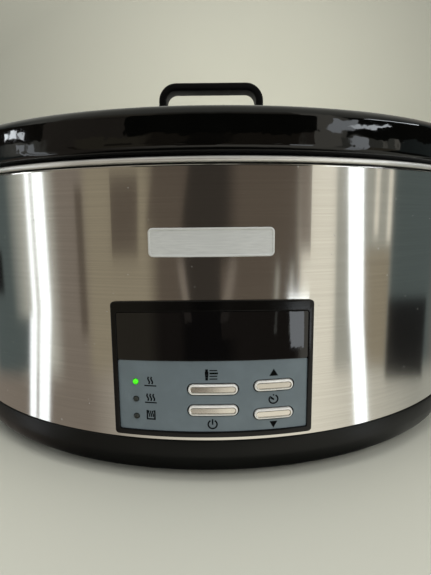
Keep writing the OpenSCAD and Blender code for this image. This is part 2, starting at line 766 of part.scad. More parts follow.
module crock() {
  c_out = crock_out(crock_z) - crock_r;
  c_in = crock_in(crock_floor) - crock_r;
  low_r = 5;
  neck = well_in(rim_z) - 0.5;
  color([0.03, 0.03, 0.03]) union() {
    oval_sweep(concat([[c_out - 8, crock_z]], arc([c_out, crock_z + crock_r], crock_r, -90, 0, 6),
      [[crock_out(rim_z - 6), rim_z - 6], [neck, collar_z], [-6, collar_z]],
      arc([collar_proud - low_r, collar_z + 1.2 + low_r], low_r, -90, 0, 5),
      arc([collar_proud - collar_r, collar_top - collar_r], collar_r, 0, 90, 6),
      arc([-ledge_out + 1.5, collar_top - 1.5], 1.5, 90, 180, 4),
      [[-ledge_out, ledge_z], [-ledge_in, ledge_z]],
      [[-ledge_in - 2, ledge_z - 1.5], [crock_in(rim_z), rim_z - 2], [crock_in(rim_z - 8), rim_z - 8]],
      reversed(arc([c_in, crock_floor + crock_r], crock_r, -90, 0, 6)), [[c_out - 8, crock_floor]]));
    oval_plate(c_out - 4, crock_z, crock_floor);
  }
}

// The glass dome: a strip of a barrel that lies along x, cut to the oval
module dome() {
  reach = dome_x + 6;
  crown = [for (i = [-10:10]) let (x = reach*i/10) [lid_ry - lid_rx + sqrt(lid_rx*lid_rx - x*x), x]];
  intersection() {
    translate([0, 0, apex_z - lid_ry]) rotate([0, 90, 0]) rotate_extrude($fn = 360)
      polygon(sheet(crown, glass_t));
    oval_plate(-dome_edge, lid_z, apex_z + 1);
  }
}
module lid_glass() {
  color([0.7, 0.8, 0.8, 0.4]) difference() {
    union() {
      oval_sweep([[-dome_edge - 4, lid_z], [-ledge_out - 1.8, lid_z], [-ledge_out - 0.8, lid_z + 1],
        [-ledge_out - 0.8, lid_z + glass_t - 1], [-ledge_out - 1.8, lid_z + glass_t],
        [-dome_edge - 4, lid_z + glass_t]]);
      dome();
    }
    for (s = [-1, 1]) translate([s*hole_x, 0, 0]) cylinder(r = hole_r, h = top_z, $fn = 40);
  }
}
module lid_handle() {
  z0 = seat_z + 1;
  z1 = apex_z + grip_h;
  leg = grip_t + 0.5;
  w = grip_w/2;
  color([0.04, 0.04, 0.045]) difference() {
    union() {
      translate([0, grip_d/2, 0]) rotate([90, 0, 0]) linear_extrude(grip_d) polygon(concat([[w, z0]],
        arc([w - grip_r, z1 - grip_r], grip_r, 0, 90, 8), arc([-w + grip_r, z1 - grip_r], grip_r, 90, 180, 8),
        [[-w, z0], [-w + leg, z0]],
        reversed(arc([-w + grip_r, z1 - grip_r], grip_r - grip_t, 90, 180, 8)),
        reversed(arc([w - grip_r, z1 - grip_r], grip_r - grip_t, 0, 90, 8)), [[w - leg, z0]]));
      for (s = [-1, 1]) translate([s*hole_x, 0, z0]) cylinder(r1 = 8, r2 = 6.5, h = 6, $fn = 48);
    }
    for (s = [-1, 1]) translate([s*hole_x, 0, z0 - 1]) cylinder(r = screw_hole_r, h = 9, $fn = 32);
  }
}
module lid_seals() {
  color([0.2, 0.2, 0.2]) for (s = [-1, 1]) translate([s*hole_x, 0, 0]) {
    tube(seal_r, 2.3, seat_z, seat_z + 1);
    tube(hole_r - fixed, 2.3, under_z - 1, seat_z + 0.5);
    tube(washer_r, 2.3, under_z - 2, under_z);
  }
}
module lid_screws() {
  color([0.75, 0.75, 0.75]) for (s = [-1, 1]) translate([s*hole_x, 0, under_z - 2]) {
    translate([0, 0, -2.2]) cylinder(r1 = 3, r2 = 4.5, h = 2.2, $fn = 40);
    translate([0, 0, -1]) cylinder(r = 1.75, h = 14, $fn = 32);
  }
}

base_housing();
bottom_plate();
bottom_screws();
rubber_feet();
steel_wrap();
heating_well();
well_studs();
well_spacers();
well_nuts();
heat_shield();
heating_band();
band_bolt();
thermal_fuse();
fuse_clip();
temperature_sensor();
cord_gland();
gland_nut();
power_board();
board_standoffs();
relay();
capacitor();
terminal_block();
side_handle_left();
side_handle_right();
handle_screws();
badge_plate();
badge_clips();
panel_bezel();
display_lens();
panel_overlay();
display_module();
control_board();
board_screws();
panel_housing();
tact_switches();
led_low();
led_high();
led_warm();
select_button();
select_plunger();
power_button();
power_plunger();
time_up_button();
time_up_plunger();
time_down_button();
time_down_plunger();
crock();
lid_glass();
lid_handle();
lid_seals();
lid_screws();
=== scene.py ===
"""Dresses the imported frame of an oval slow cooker: stoneware crock, brushed steel wrap, moulded base,
glass lid and a curved control panel with four push buttons. Written as an add-on, run as a script."""

import json
import math

import bmesh
import bpy
from mathutils import Matrix, Vector


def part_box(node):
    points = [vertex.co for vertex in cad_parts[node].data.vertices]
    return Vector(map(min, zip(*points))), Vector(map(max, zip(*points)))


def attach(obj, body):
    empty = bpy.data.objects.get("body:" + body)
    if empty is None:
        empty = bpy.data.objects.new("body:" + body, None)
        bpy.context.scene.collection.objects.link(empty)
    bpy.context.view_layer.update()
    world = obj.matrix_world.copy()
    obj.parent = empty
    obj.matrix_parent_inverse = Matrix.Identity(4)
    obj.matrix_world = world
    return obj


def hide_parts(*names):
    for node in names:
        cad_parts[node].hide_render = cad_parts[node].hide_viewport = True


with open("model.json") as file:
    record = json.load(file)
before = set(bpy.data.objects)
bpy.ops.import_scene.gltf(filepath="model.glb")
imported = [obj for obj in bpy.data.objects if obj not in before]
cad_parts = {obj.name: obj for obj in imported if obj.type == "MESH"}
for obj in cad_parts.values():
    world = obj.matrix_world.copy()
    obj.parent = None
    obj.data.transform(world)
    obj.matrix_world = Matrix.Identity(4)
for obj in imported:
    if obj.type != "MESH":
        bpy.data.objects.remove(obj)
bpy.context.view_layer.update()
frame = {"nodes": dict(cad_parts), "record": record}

bl_info = {
    "name": "Oval slow cooker",
    "version": (1, 0, 0),
    "blender": (4, 5, 0),
    "location": "View3D > Sidebar > Cooker",
    "description": "Models and finishes the pieces of an oval slow cooker around its packed frame",
    "category": "Object",
}

MM = 0.001

# The wrap's oval, from the frame: two side arcs and two end arcs that meet on a 20-21-29 triangle
WRAP_LOW, WRAP_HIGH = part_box("steel_wrap")
HALF_L = WRAP_HIGH.x
HALF_W = WRAP_HIGH.y
END_C = (HALF_L - HALF_W) / 0.6
END_R = HALF_L - END_C
SIDE_C = END_C * 21 / 20
SIDE_R = END_R + END_C * 29 / 20
SEAM = math.atan2(20, 21)
SIDE_STEPS = 56
END_STEPS = 44
OVAL_ARCS = (
    ((0, SIDE_C, 0), 2 * SEAM, SIDE_STEPS),
    ((END_C, 0, 0), math.pi - 2 * SEAM, END_STEPS),
    ((0, -SIDE_C, 0), 2 * SEAM, SIDE_STEPS),
    ((-END_C, 0, 0), math.pi - 2 * SEAM, END_STEPS),
)
# points nearer than this are one point
TOUCH = 0.001 * MM

BASE_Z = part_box("rubber_feet")[0].z + 4 * MM
BASE_TOP = WRAP_LOW.z - 0.3 * MM
RIM_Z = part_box("heating_well")[1].z
COLLAR_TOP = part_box("crock")[1].z
CROCK_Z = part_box("crock")[0].z
LID_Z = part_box("lid_glass")[0].z
APEX_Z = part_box("lid_glass")[1].z
PANEL_LOW, PANEL_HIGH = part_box("panel_bezel")
OVERLAY_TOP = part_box("panel_overlay")[1].z
PANEL_W = PANEL_HIGH.x - PANEL_LOW.x
PANEL_BOW = 1.2 * MM
BUTTONS = ("select_button", "power_button", "time_up_button", "time_down_button")
LAMPS = ("led_low", "led_high", "led_warm")

# The room that the metal mirrors, made up from a few plain tones. A tone is what the steel then shows, which
# is STEEL_SHARE of the light. Angles are degrees from the front, to the right
STEEL_SHARE = 0.6
TONES = {
    "black": "#181818",
    "dark": "#302c28",
    "brown": "#504840",
    "slate": "#485050",
    "ash": "#706860",
    "tan": "#807868",
    "grey": "#909088",
    "stone": "#a8a8a0",
    "pale": "#d0ccc0",
    "daylight": "#f4faff",
}
# tone, start and end of each band; neighbours blend in the gap between them
ROOM = (
    ("grey", -178, -115), ("slate", -95, -85), ("stone", -75, -65), ("ash", -60, -50), ("tan", -47, -25),
    ("brown", -20, -13), ("dark", -10, 5), ("brown", 10, 32), ("pale", 34, 46), ("grey", 50, 70),
    ("slate", 73, 95), ("ash", 110, 120), ("grey", 160, 178),
)
TABLE = (("grey", -178, -150), ("ash", -100, -50), ("pale", 0, 40), ("grey", 90, 178))
# each card stands this far in front of the one before it
CARD_GAP = 1.5 * MM
# name, start and end at its foot, low and high in metres, lean of its top, tone, strength
CARDS = (
    ("curtain", -25, -12, 0.13, 0.3, 6, "brown", 1),
    ("door", -39, -28, 0.09, 0.22, 1, "brown", 1),
    ("door_edge", -52, -49, -0.04, 0.2, 0, "brown", 1),
    ("chair", -58, -54, -0.02, 0.045, 0, "ash", 1),
    ("shelf_left", -97, -90, 0.03, 0.1, 0, "black", 1),
    ("sideboard_left", -98, -78, -0.1, -0.01, 2, "slate", 1),
    ("figure_low", -10, 3, -0.04, 0.09, 0, "dark", 1),
    ("figure_left", 3, 22, -0.05, 0.08, 0, "brown", 1),
    ("sleeve_left", -10.5, -8, -0.02, 0.085, -3, "ash", 1),
    ("sleeve_right", 2.5, 5.5, -0.02, 0.085, 4, "ash", 1),
    ("figure_hem", -14, 1, -0.18, -0.09, 0, "brown", 1),
    ("streak_one", 23, 24, -0.04, 0.07, 1, "stone", 1),
    ("streak_two", 28.5, 29.5, -0.04, 0.07, 1, "stone", 1),
    ("shade", 33, 37.5, 0.095, 0.4, -1, "ash", 1),
    ("tan_strip", 48, 50.5, -0.1, 0.25, -1.5, "grey", 1),
    ("cupboard_right", 58.5, 71, -0.095, 0.1, 0, "tan", 1),
    ("streak_three", 63, 65, 0.12, 0.26, 0, "pale", 1),
    ("streak_four", 69, 71, 0.11, 0.26, 0, "pale", 1),
    ("bin_right", 71.5, 94, -0.115, 0.02, 0, "black", 1),
    ("glint", 29.5, 38, -0.06, 0.02, -1, "daylight", 2),
    ("window_left_one", -74, -72, 0, 0.245, 0.5, "daylight", 1.5),
    ("window_left_two", -70, -65, 0, 0.245, 0, "daylight", 1.5),
    ("window_right", 53.5, 59.5, 0, 0.245, -2.5, "daylight", 2),
    ("table_left_one", -82, -78.5, -0.25, 0, 6.5, "daylight", 1.3),
    ("table_left_two", -77, -71.5, -0.25, 0, 6.5, "daylight", 1.3),
    ("table_right", 59.5, 65.5, -0.25, 0, -6, "daylight", 1.6),
    ("loft_left", -62, -30, 0.25, 0.42, 0, "ash", 1),
    ("loft_front", -30, 38, 0.255, 0.42, 0, "black", 1),
    ("loft_right", 49, 90, 0.25, 0.42, 0, "black", 1),
    ("loft_far_left", -90, -62, 0.25, 0.42, 0, "dark", 1),
    ("loft_slot", -41, -30, 0.335, 0.345, 0, "black", 1),
    ("pane_one", -80.5, -77.5, 0.265, 0.29, 0, "daylight", 7),
    ("pane_two", -77, -73, 0.26, 0.3, 0, "daylight", 7),
    ("pane_three", -72.5, -71, 0.26, 0.29, 0, "daylight", 5),
    ("pane_four", 41, 51, 0.27, 0.32, 3, "daylight", 2),
    ("pane_five", 49, 64, 0.285, 0.295, 4, "daylight", 5),
    ("pane_six", 58, 84, 0.385, 0.41, 3, "daylight", 7),
)


def linear(code):
    """An sRGB hex colour as linear RGB."""
    parts = [int(code[i : i + 2], 16) / 255 for i in (1, 3, 5)]
    return tuple(c / 12.92 if c <= 0.04045 else ((c + 0.055) / 1.055) ** 2.4 for c in parts)


def colour_property(name, code):
    return bpy.props.FloatVectorProperty(
        name=name, description=f"{name}, linear", default=linear(code), min=0, max=1, subtype="COLOR"
    )


def length_property(name, description, default):
    return bpy.props.FloatProperty(name=name, description=description, default=default, unit="LENGTH")


class CookerColours(bpy.types.PropertyGroup):
    steel: colour_property("Brushed steel", "#cccac4")
    rim: colour_property("Rolled rim", "#f4f2ec")
    glaze: colour_property("Stoneware glaze", "#040403")
    plastic: colour_property("Base plastic", "#0e0f0d")
    handle: colour_property("Handle plastic", "#050505")
    frame: colour_property("Panel frame", "#050505")
    overlay: colour_property("Control overlay", "#69757a")
    symbol: colour_property("Printed symbols", "#050708")
    button: colour_property("Button metal", "#dcd8d0")
    # a lighter copy of the button colour for the rim: painted highlight
    painted_button_highlight: colour_property("Button rim", "#e8e5dc")
    badge: colour_property("Badge plate", "#dcddd8")
    lamp: colour_property("Lit lamp", "#48e016")
    floor: colour_property("Floor", "#d0cfbf")
    wall: colour_property("Wall", "#d2d0bd")


class CookerSizes(bpy.types.PropertyGroup):
    frame_round: length_property("Frame rounding", "Rounding of the panel frame's edges", 0.45 * MM)
    button_round: length_property("Button rounding", "Rounding of a button's rim", 0.5 * MM)
    symbol_line: length_property("Symbol line", "Width of a printed symbol's lines", 0.8 * MM)
    handle_round: length_property("Handle rounding", "Rounding of the handles' edges", 1.6 * MM)
    grain: length_property("Steel grain", "Pitch of the grain, coarser than the real 0.2 mm", 0.7 * MM)
    studio: length_property("Studio radius", "Distance of the reflector from the middle", 0.62)


# ---------------------------------------------------------------- outlines


def arc(centre, radius, start, end, steps=8):
    """The points of an arc, in degrees."""
    turns = [math.radians(start + (end - start) * i / steps) for i in range(steps + 1)]
    return [(centre[0] + radius * math.cos(t), centre[1] + radius * math.sin(t)) for t in turns]


def left_of(a, b):
    length = math.dist(a, b)
    return ((a[1] - b[1]) / length, (b[0] - a[0]) / length)


def beside(points, distance):
    """An open path moved sideways to its left."""
    moved = []
    last = len(points) - 1
    for i, point in enumerate(points):
        before = left_of(points[max(i - 1, 0)], points[max(i, 1)])
        after = left_of(points[min(i, last - 1)], points[min(i + 1, last)])
        mean = (before[0] + after[0], before[1] + after[1])
        size = distance / (mean[0] * before[0] + mean[1] * before[1])
        moved.append((point[0] + mean[0] * size, point[1] + mean[1] * size))
    return moved


def bowed(half, z, bow):
    return [(half * i / 6, z + bow * (1 - (i / 6) ** 2)) for i in range(-5, 6)] if bow else []


def plate(width, low, high, radius, bow=0.0, low_bow=0.0):
    """Outline of a plate with round corners, whose upper and lower edges may bow up."""
    h = width / 2 - radius
    return (
        arc((-h, low + radius), radius, 180, 270, 6)
        + bowed(h, low, low_bow)
        + arc((h, low + radius), radius, -90, 0, 6)
        + arc((h, high - radius), radius, 0, 90, 6)
        + bowed(h, high, bow)[::-1]
        + arc((-h, high - radius), radius, 90, 180, 6)
    )


def pill(x, z, width, height):
    h = (width - height) / 2
    return arc((x + h, z), height / 2, -90, 90, 12) + arc((x - h, z), height / 2, 90, 270, 12)


def circle(x, z, radius, steps=24):
    return arc((x, z), radius, 0, 360, steps)[:-1]


def stroke(points, width):
    """The outline of a line of a printed symbol."""
    return beside(points, width / 2) + beside(points, -width / 2)[::-1]


def front_y(x, out=0.0):
    """Depth of the wrap's front at x, for an offset out from it."""
    return SIDE_C - math.sqrt((SIDE_R + out) ** 2 - x * x)


# ---------------------------------------------------------------- modelling


def clear_selection():
    if bpy.context.object and bpy.context.object.mode != "OBJECT":
        bpy.ops.object.mode_set(mode="OBJECT")
    bpy.ops.object.select_all(action="DESELECT")


def pick(kind, test):
    """Selects the parts of the mesh in edit mode whose middle and normal pass a test."""
    bpy.ops.mesh.select_mode(type=kind)
    bpy.ops.mesh.select_all(action="DESELECT")
    data = bpy.context.object.data
    mesh = bmesh.from_edit_mesh(data)
    mesh.normal_update()
    if kind == "VERT":
        for vert in mesh.verts:
            vert.select_set(test(vert.co, vert.normal))
    elif kind == "EDGE":
        for edge in mesh.edges:
            edge.select_set(test((edge.verts[0].co + edge.verts[1].co) / 2, edge))
    else:
        for face in mesh.faces:
            face.select_set(test(face.calc_center_median(), face.normal))
    mesh.select_flush_mode()
    bmesh.update_edit_mesh(data)


def draw_line(name, points):
    """Draws a line of edges by extruding one vertex from point to point, and leaves it in edit mode."""
    clear_selection()
    bpy.ops.mesh.primitive_plane_add(size=MM)
    bpy.context.object.name = name
    bpy.ops.object.mode_set(mode="EDIT")
    bpy.ops.mesh.select_mode(type="VERT")
    bpy.ops.mesh.select_all(action="SELECT")
    bpy.ops.mesh.merge(type="CENTER")
    bpy.ops.transform.translate(value=points[0])
    for a, b in zip(points, points[1:]):
        bpy.ops.mesh.extrude_vertices_move(TRANSFORM_OT_translate={"value": b - a})
    bpy.ops.mesh.select_all(action="SELECT")
    return bpy.context.object


def spin(centre, turn, steps):
    """Spins the selection counter-clockwise about an upright axis."""
    bpy.ops.mesh.spin(steps=steps, angle=-turn, center=centre, axis=(0, 0, 1))


def draw_oval(name, section, closed=False):
    """Spins a section, as (offset out from the wrap, height), round the four centres of the oval."""
    seam = Vector((-math.sin(SEAM), -math.cos(SEAM), 0))
    centre = Vector((0, SIDE_C, 0))
    points = [centre + seam * (SIDE_R + out * MM) + Vector((0, 0, z * MM)) for out, z in section]
    piece = draw_line(name, points + points[:1] if closed else points)
    bpy.ops.mesh.remove_doubles(threshold=TOUCH)
    for middle, turn, steps in OVAL_ARCS:
        spin(middle, turn, steps)
    bpy.ops.mesh.select_all(action="SELECT")
    bpy.ops.mesh.remove_doubles(threshold=TOUCH)
    return piece


def oval_sweep(name, section, closed=False):
    """A solid from a section swept round the oval. An open section's two ends lie inside the body, and
    are closed with flat oval faces."""
    piece = draw_oval(name, section, closed)
    if not closed:
        for z in (section[0][1] * MM, section[-1][1] * MM):
            pick("EDGE", lambda middle, edge: edge.is_boundary and abs(middle.z - z) < TOUCH)
            bpy.ops.mesh.edge_face_add()
    face_outwards()
    return piece


def face_outwards():
    bpy.ops.mesh.select_all(action="SELECT")
    bpy.ops.mesh.normals_make_consistent(inside=False)


def smooth(piece, angle=30):
    clear_selection()
    piece.select_set(True)
    bpy.context.view_layer.objects.active = piece
    bpy.ops.object.shade_smooth_by_angle(angle=math.radians(angle))


def modify(piece, kind, **settings):
    """Adds a modifier with its settings and applies it."""
    modifier = piece.modifiers.new(kind.title(), kind)
    for key, value in settings.items():
        setattr(modifier, key, value)
    bpy.context.view_layer.objects.active = piece
    bpy.ops.object.modifier_apply(modifier=modifier.name)


def join(pieces, name):
    clear_selection()
    for piece in pieces:
        piece.select_set(True)
    bpy.context.view_layer.objects.active = pieces[0]
    bpy.ops.object.join()
    pieces[0].name = name
    return pieces[0]


def add_spline(curve, points, closed):
    line = curve.splines.new("POLY")
    line.points.add(len(points) - 1)
    for point, place in zip(line.points, points):
        point.co = (*place, 1)
    line.use_cyclic_u = closed


def as_mesh(name, curve):
    """Turns a curve into a mesh piece, and leaves it selected and active."""
    piece = bpy.data.objects.new(name, curve)
    bpy.context.collection.objects.link(piece)
    piece.select_set(True)
    bpy.context.view_layer.objects.active = piece
    bpy.ops.object.convert(target="MESH")
    return bpy.context.object


def flat_mesh(name, outlines, low, high, rounding=0.0):
    """Outlines in x and z as a flat curve with round edges, made a mesh between two heights."""
    clear_selection()
    curve = bpy.data.curves.new(name, "CURVE")
    curve.dimensions = "2D"
    curve.fill_mode = "BOTH"
    curve.extrude = (high - low) / 2 - rounding
    curve.bevel_depth = rounding
    curve.bevel_resolution = 3
    curve.offset = -rounding
    for outline in outlines:
        add_spline(curve, [(x, z, 0) for x, z in outline], True)
    piece = as_mesh(name, curve)
    bpy.ops.object.mode_set(mode="EDIT")
    bpy.ops.mesh.select_mode(type="VERT")
    bpy.ops.mesh.select_all(action="SELECT")
    bpy.ops.mesh.remove_doubles(threshold=TOUCH)
    bpy.ops.transform.translate(value=(0, 0, (low + high) / 2))
    return piece


def press_to_front(piece, strip=4 * MM):
    """Cuts a flat piece into upright strips and lays it on the curved front. Its depth is an offset."""
    bpy.context.view_layer.objects.active = piece
    if piece.mode != "EDIT":
        bpy.ops.object.mode_set(mode="EDIT")
    xs = [v.co.x for v in bmesh.from_edit_mesh(piece.data).verts]
    for i in range(math.ceil(min(xs) / strip), math.floor(max(xs) / strip) + 1):
        bpy.ops.mesh.select_all(action="SELECT")
        bpy.ops.mesh.bisect(plane_co=(i * strip, 0, 0), plane_no=(1, 0, 0))
    bpy.ops.object.mode_set(mode="OBJECT")
    for vert in piece.data.vertices:
        x, z, out = vert.co
        vert.co = (x, front_y(x, out), z)
    piece.data.update()


def dress(piece, material, slot, body, *nodes):
    """Gives a piece its finish and its body, and hides the frame nodes that it stands for."""
    if piece.mode != "OBJECT":
        bpy.ops.object.mode_set(mode="OBJECT")
    piece.data.name = piece.name
    piece.data.materials.clear()
    piece.data.materials.append(material)
    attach(piece, body)
    if nodes:
        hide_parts(*nodes)
    return piece


# ---------------------------------------------------------------- finishes

# the range that a noise pattern mostly keeps to
NOISE_RANGE = {"From Min": 0.3, "From Max": 0.7}
# a Mix node's sockets for colours: share, first and second colour, and the result
MIX_SHARE, MIX_FIRST, MIX_SECOND, MIX_RESULT = 0, 6, 7, 2


def add(tree, kind, links=None, **settings):
    """Adds a shader node with its settings; links holds input values or the sockets that feed them."""
    made = tree.nodes.new("ShaderNode" + kind)
    for key, value in settings.items():
        setattr(made, key, value)
    for key, value in (links or {}).items():
        if isinstance(value, bpy.types.NodeSocket):
            tree.links.new(value, made.inputs[key])
        else:
            made.inputs[key].default_value = value
    return made


def blank(name):
    """An empty material: its tree, its principled shader and its object coordinates."""
    material = bpy.data.materials.new(name)
    material.use_nodes = True
    tree = material.node_tree
    tree.nodes.clear()
    shader = add(tree, "BsdfPrincipled")
    add(tree, "OutputMaterial", {"Surface": shader.outputs[0]})
    place = add(tree, "TexCoord").outputs["Object"]
    return material, tree, shader, place


def rgba(colour, level=1.0):
    return tuple(c * level for c in colour) + (1,)


def patches(tree, place, size, detail=3.0, stretch=(1, 1, 1)):
    """An uneven pattern with features of about a given size, drawn out along the axes by stretch."""
    at = add(tree, "Mapping", {"Vector": place, "Scale": stretch}).outputs[0]
    return add(tree, "TexNoise", {"Vector": at, "Scale": 1 / size, "Detail": detail}).outputs["Fac"]


def shade(tree, value, first, second, start=0.3, end=0.7):
    """A tone that turns from the first colour to the second as a value goes from start to end."""
    share = add(tree, "MapRange", {"Value": value, "From Min": start, "From Max": end}).outputs[0]
    links = {MIX_SHARE: share, MIX_FIRST: first, MIX_SECOND: second}
    return add(tree, "Mix", links, data_type="RGBA").outputs[MIX_RESULT]


def worn(tree, marks, first, second, low, high):
    """Tone and roughness that vary together with a pattern of marks."""
    roughness = add(tree, "MapRange", {"Value": marks, "To Min": low, "To Max": high, **NOISE_RANGE})
    return shade(tree, marks, first, second), roughness.outputs[0]


def set_sockets(tree, shader, **values):
    for key, value in values.items():
        socket = shader.inputs[key.replace("_", " ")]
        if isinstance(value, bpy.types.NodeSocket):
            tree.links.new(value, socket)
        else:
            socket.default_value = value


def brushed_steel(colour, grain):
    """Belt-brushed stainless sheet: level grain that draws reflections out into upright streaks, with
    faint wiping marks and small specks of dust that scatter a little light."""
    material, tree, shader, place = blank("brushed_stainless")
    fine = patches(tree, place, grain, 2, (0.01, 0.01, 1))
    coarse = patches(tree, place, 4 * grain, 1, (0.03, 0.03, 1))
    wiped = patches(tree, place, 45 * MM, 4, (1, 1, 0.5))
    dust = patches(tree, place, 2.5 * MM, 2)
    speck = {"Value": dust, "From Min": 0.75, "From Max": 0.79}
    grained = shade(tree, fine, rgba(colour, 0.95), rgba(colour, 1.03))
    height = add(tree, "Math", {0: fine, 1: coarse}, operation="ADD").outputs[0]
    scratches = add(tree, "Bump", {"Height": height, "Strength": 0.06, "Distance": 0.01 * MM})
    gloss = add(tree, "MapRange", {"Value": wiped, "To Min": 0.1, "To Max": 0.14, **NOISE_RANGE})
    set_sockets(
        tree,
        shader,
        Base_Color=shade(tree, dust, grained, rgba(linear("#c9c8c2")), speck["From Min"], speck["From Max"]),
        Metallic=add(tree, "MapRange", {"To Min": 1, "To Max": 0.3, **speck}).outputs[0],
        Roughness=gloss.outputs[0],
        Anisotropic=0.6,
        Anisotropic_Rotation=0.25,
        Tangent=add(tree, "Tangent", direction_type="RADIAL", axis="Z").outputs[0],
        Normal=scratches.outputs[0],
    )
    return material


def polished_sheet(name, colour, low, high, metal=1.0):
    """Rolled or pressed sheet metal: bright, with a soft sheen and a few handling marks."""
    material, tree, shader, place = blank(name)
    marks = patches(tree, place, 17 * MM, 4)
    fine = patches(tree, place, 1.1 * MM, 2)
    texture = add(tree, "Bump", {"Height": fine, "Strength": 0.08, "Distance": 0.05 * MM})
    tone, roughness = worn(tree, marks, rgba(colour, 0.85), rgba(colour), low, high)
    set_sockets(tree, shader, Base_Color=tone, Metallic=metal, Roughness=roughness, Normal=texture.outputs[0])
    return material


def satin_plate(colour):
    """Satin anodised aluminium: pale, nearly matt, with a fine level grain."""
    material, tree, shader, place = blank("satin_badge_metal")
    fine = patches(tree, place, 0.7 * MM, 2, (0.05, 1, 1))
    tone = shade(tree, fine, rgba(colour, 0.93), rgba(colour, 1.05))
    grain = add(tree, "Bump", {"Height": fine, "Strength": 0.1, "Distance": 0.03 * MM}).outputs[0]
    set_sockets(tree, shader, Base_Color=tone, Metallic=0.2, Roughness=0.38, Normal=grain)
    return material


def glazed_stoneware(colour):
    """Black glaze fired on stoneware: near-mirror gloss with the slow ripple of a poured glaze and a
    few pinholes."""
    material, tree, shader, place = blank("glazed_stoneware")
    ripple = patches(tree, place, 12.5 * MM, 2)
    pores = patches(tree, place, 1.4 * MM, 1)
    hole = {"Value": pores, "From Min": 0.74, "From Max": 0.8, "To Min": 0, "To Max": -0.05}
    pinholes = add(tree, "MapRange", hole)
    height = add(tree, "Math", {0: ripple, 1: pinholes.outputs[0]}, operation="ADD").outputs[0]
    relief = add(tree, "Bump", {"Height": height, "Strength": 0.5, "Distance": 0.5 * MM}).outputs[0]
    tone, roughness = worn(tree, ripple, rgba(colour), rgba(colour, 1.5), 0.03, 0.06)
    set_sockets(tree, shader, Base_Color=tone, Roughness=roughness, IOR=1.42, Normal=relief)
    return material


def moulded_plastic(name, colour, low, high, grit=0.4 * MM, ior=1.5):
    """Injection-moulded plastic: fine spark-eroded grain from the tool, drawn a little coarse, with
    patches that handling has rubbed smoother."""
    material, tree, shader, place = blank(name)
    rubbed = patches(tree, place, 28 * MM, 3)
    sparked = patches(tree, place, grit, 2)
    grain = add(tree, "Bump", {"Height": sparked, "Strength": 0.1, "Distance": 0.1 * MM})
    tone, roughness = worn(tree, rubbed, rgba(colour), rgba(colour, 1.25), low, high)
    set_sockets(tree, shader, Base_Color=tone, Roughness=roughness, IOR=ior, Normal=grain.outputs[0])
    return material


def overlay_film(colour):
    """Screen-printed polyester film: satin, with a very fine texture and faint fingermarks."""
    material, tree, shader, place = blank("overlay_film")
    marks = patches(tree, place, 11 * MM, 5)
    tone = shade(tree, marks, rgba(colour), rgba(colour, 1.14), 0.45, 0.75)
    gloss = add(tree, "MapRange", {"Value": marks, "To Min": 0.42, "To Max": 0.3, **NOISE_RANGE}).outputs[0]
    # the real texture is finer than 0.1 mm and is drawn coarser, so that it shows
    fine = patches(tree, place, 0.45 * MM, 2)
    texture = add(tree, "Bump", {"Height": fine, "Strength": 0.12, "Distance": 0.05 * MM})
    set_sockets(tree, shader, Base_Color=tone, Roughness=gloss, Normal=texture.outputs[0])
    return material


def lit_lamp(colour):
    """Clear tinted LED cap, lit from inside, with a faint haze in it."""
    material, tree, shader, place = blank("lamp_lit")
    glow = shade(tree, patches(tree, place, 1.25 * MM, 1), rgba(colour, 0.8), rgba(colour))
    set_sockets(tree, shader, Base_Color=glow, Roughness=0.2, Emission_Color=glow, Emission_Strength=0.8)
    return material


def clear_glass():
    """Tempered lid glass: clear, faintly green in its thickness, with a trace of film on it."""
    material, tree, shader, place = blank("lid_glass")
    film = patches(tree, place, 33 * MM, 3)
    gloss = add(tree, "MapRange", {"Value": film, "To Min": 0, "To Max": 0.03, **NOISE_RANGE}).outputs[0]
    tone = rgba(linear("#eef4f0"))
    set_sockets(tree, shader, Base_Color=tone, Roughness=gloss, Transmission_Weight=1.0, IOR=1.5)
    return material


def circuit_board():
    """Solder mask over copper: deep green with the tracks showing through as a faint pattern."""
    material, tree, shader, place = blank("circuit_board")
    pitch = 3.8 * MM
    tracks = add(tree, "TexVoronoi", {"Vector": place, "Scale": 1 / pitch}, distance="MANHATTAN")
    tone = shade(tree, tracks.outputs[0], rgba(linear("#12402a")), rgba(linear("#1f5c3d")), 0.3, 0.4)
    set_sockets(tree, shader, Base_Color=tone, Roughness=0.35)
    return material


# ---------------------------------------------------------------- body


class COOKER_OT_base(bpy.types.Operator):
    """Moulded base with its crease, inward turn and inner rib"""

    bl_idname = "cooker.base"
    bl_label = "Base housing"

    def execute(self, context):
        low, top, crease = BASE_Z / MM, BASE_TOP / MM, 16
        proud, turn_in, edge = 0.8, 7.8, 0.5
        rib, rib_wall, rib_height = -1.1, 2.2, 8
        recess_out, recess_in, recess = -57.5, -64, 1.2
        turns = [math.radians(t) for t in range(30, 91, 5)]
        flank = []
        for t in turns:
            inward = turn_in * (1 - math.cos(t) / math.cos(turns[0]))
            flank.append((proud - inward, crease - (crease - low) * (2 * math.sin(t) - 1)))
        section = (
            [(rib - rib_wall, top + rib_height), (rib, top + rib_height), (rib, top), (proud - edge, top)]
            + arc((proud - edge, top - edge), edge, 75, 0, 3)
            + flank
            + [(recess_out, low), (recess_out, low + recess), (recess_in, low + recess), (recess_in, low + 3)]
            + [(proud - turn_in - 2, low + 3), (proud - 5.8, crease - 6), (proud - 4, crease)]
        )
        piece = oval_sweep("base_housing", section, closed=True)
        smooth(piece, 24)
        colours = context.scene.cooker_colours
        finish = moulded_plastic("moulded_base_plastic", colours.plastic, 0.34, 0.46, ior=1.28)
        dress(piece, finish, "black_plastic", "base", "base_housing")
        return {"FINISHED"}


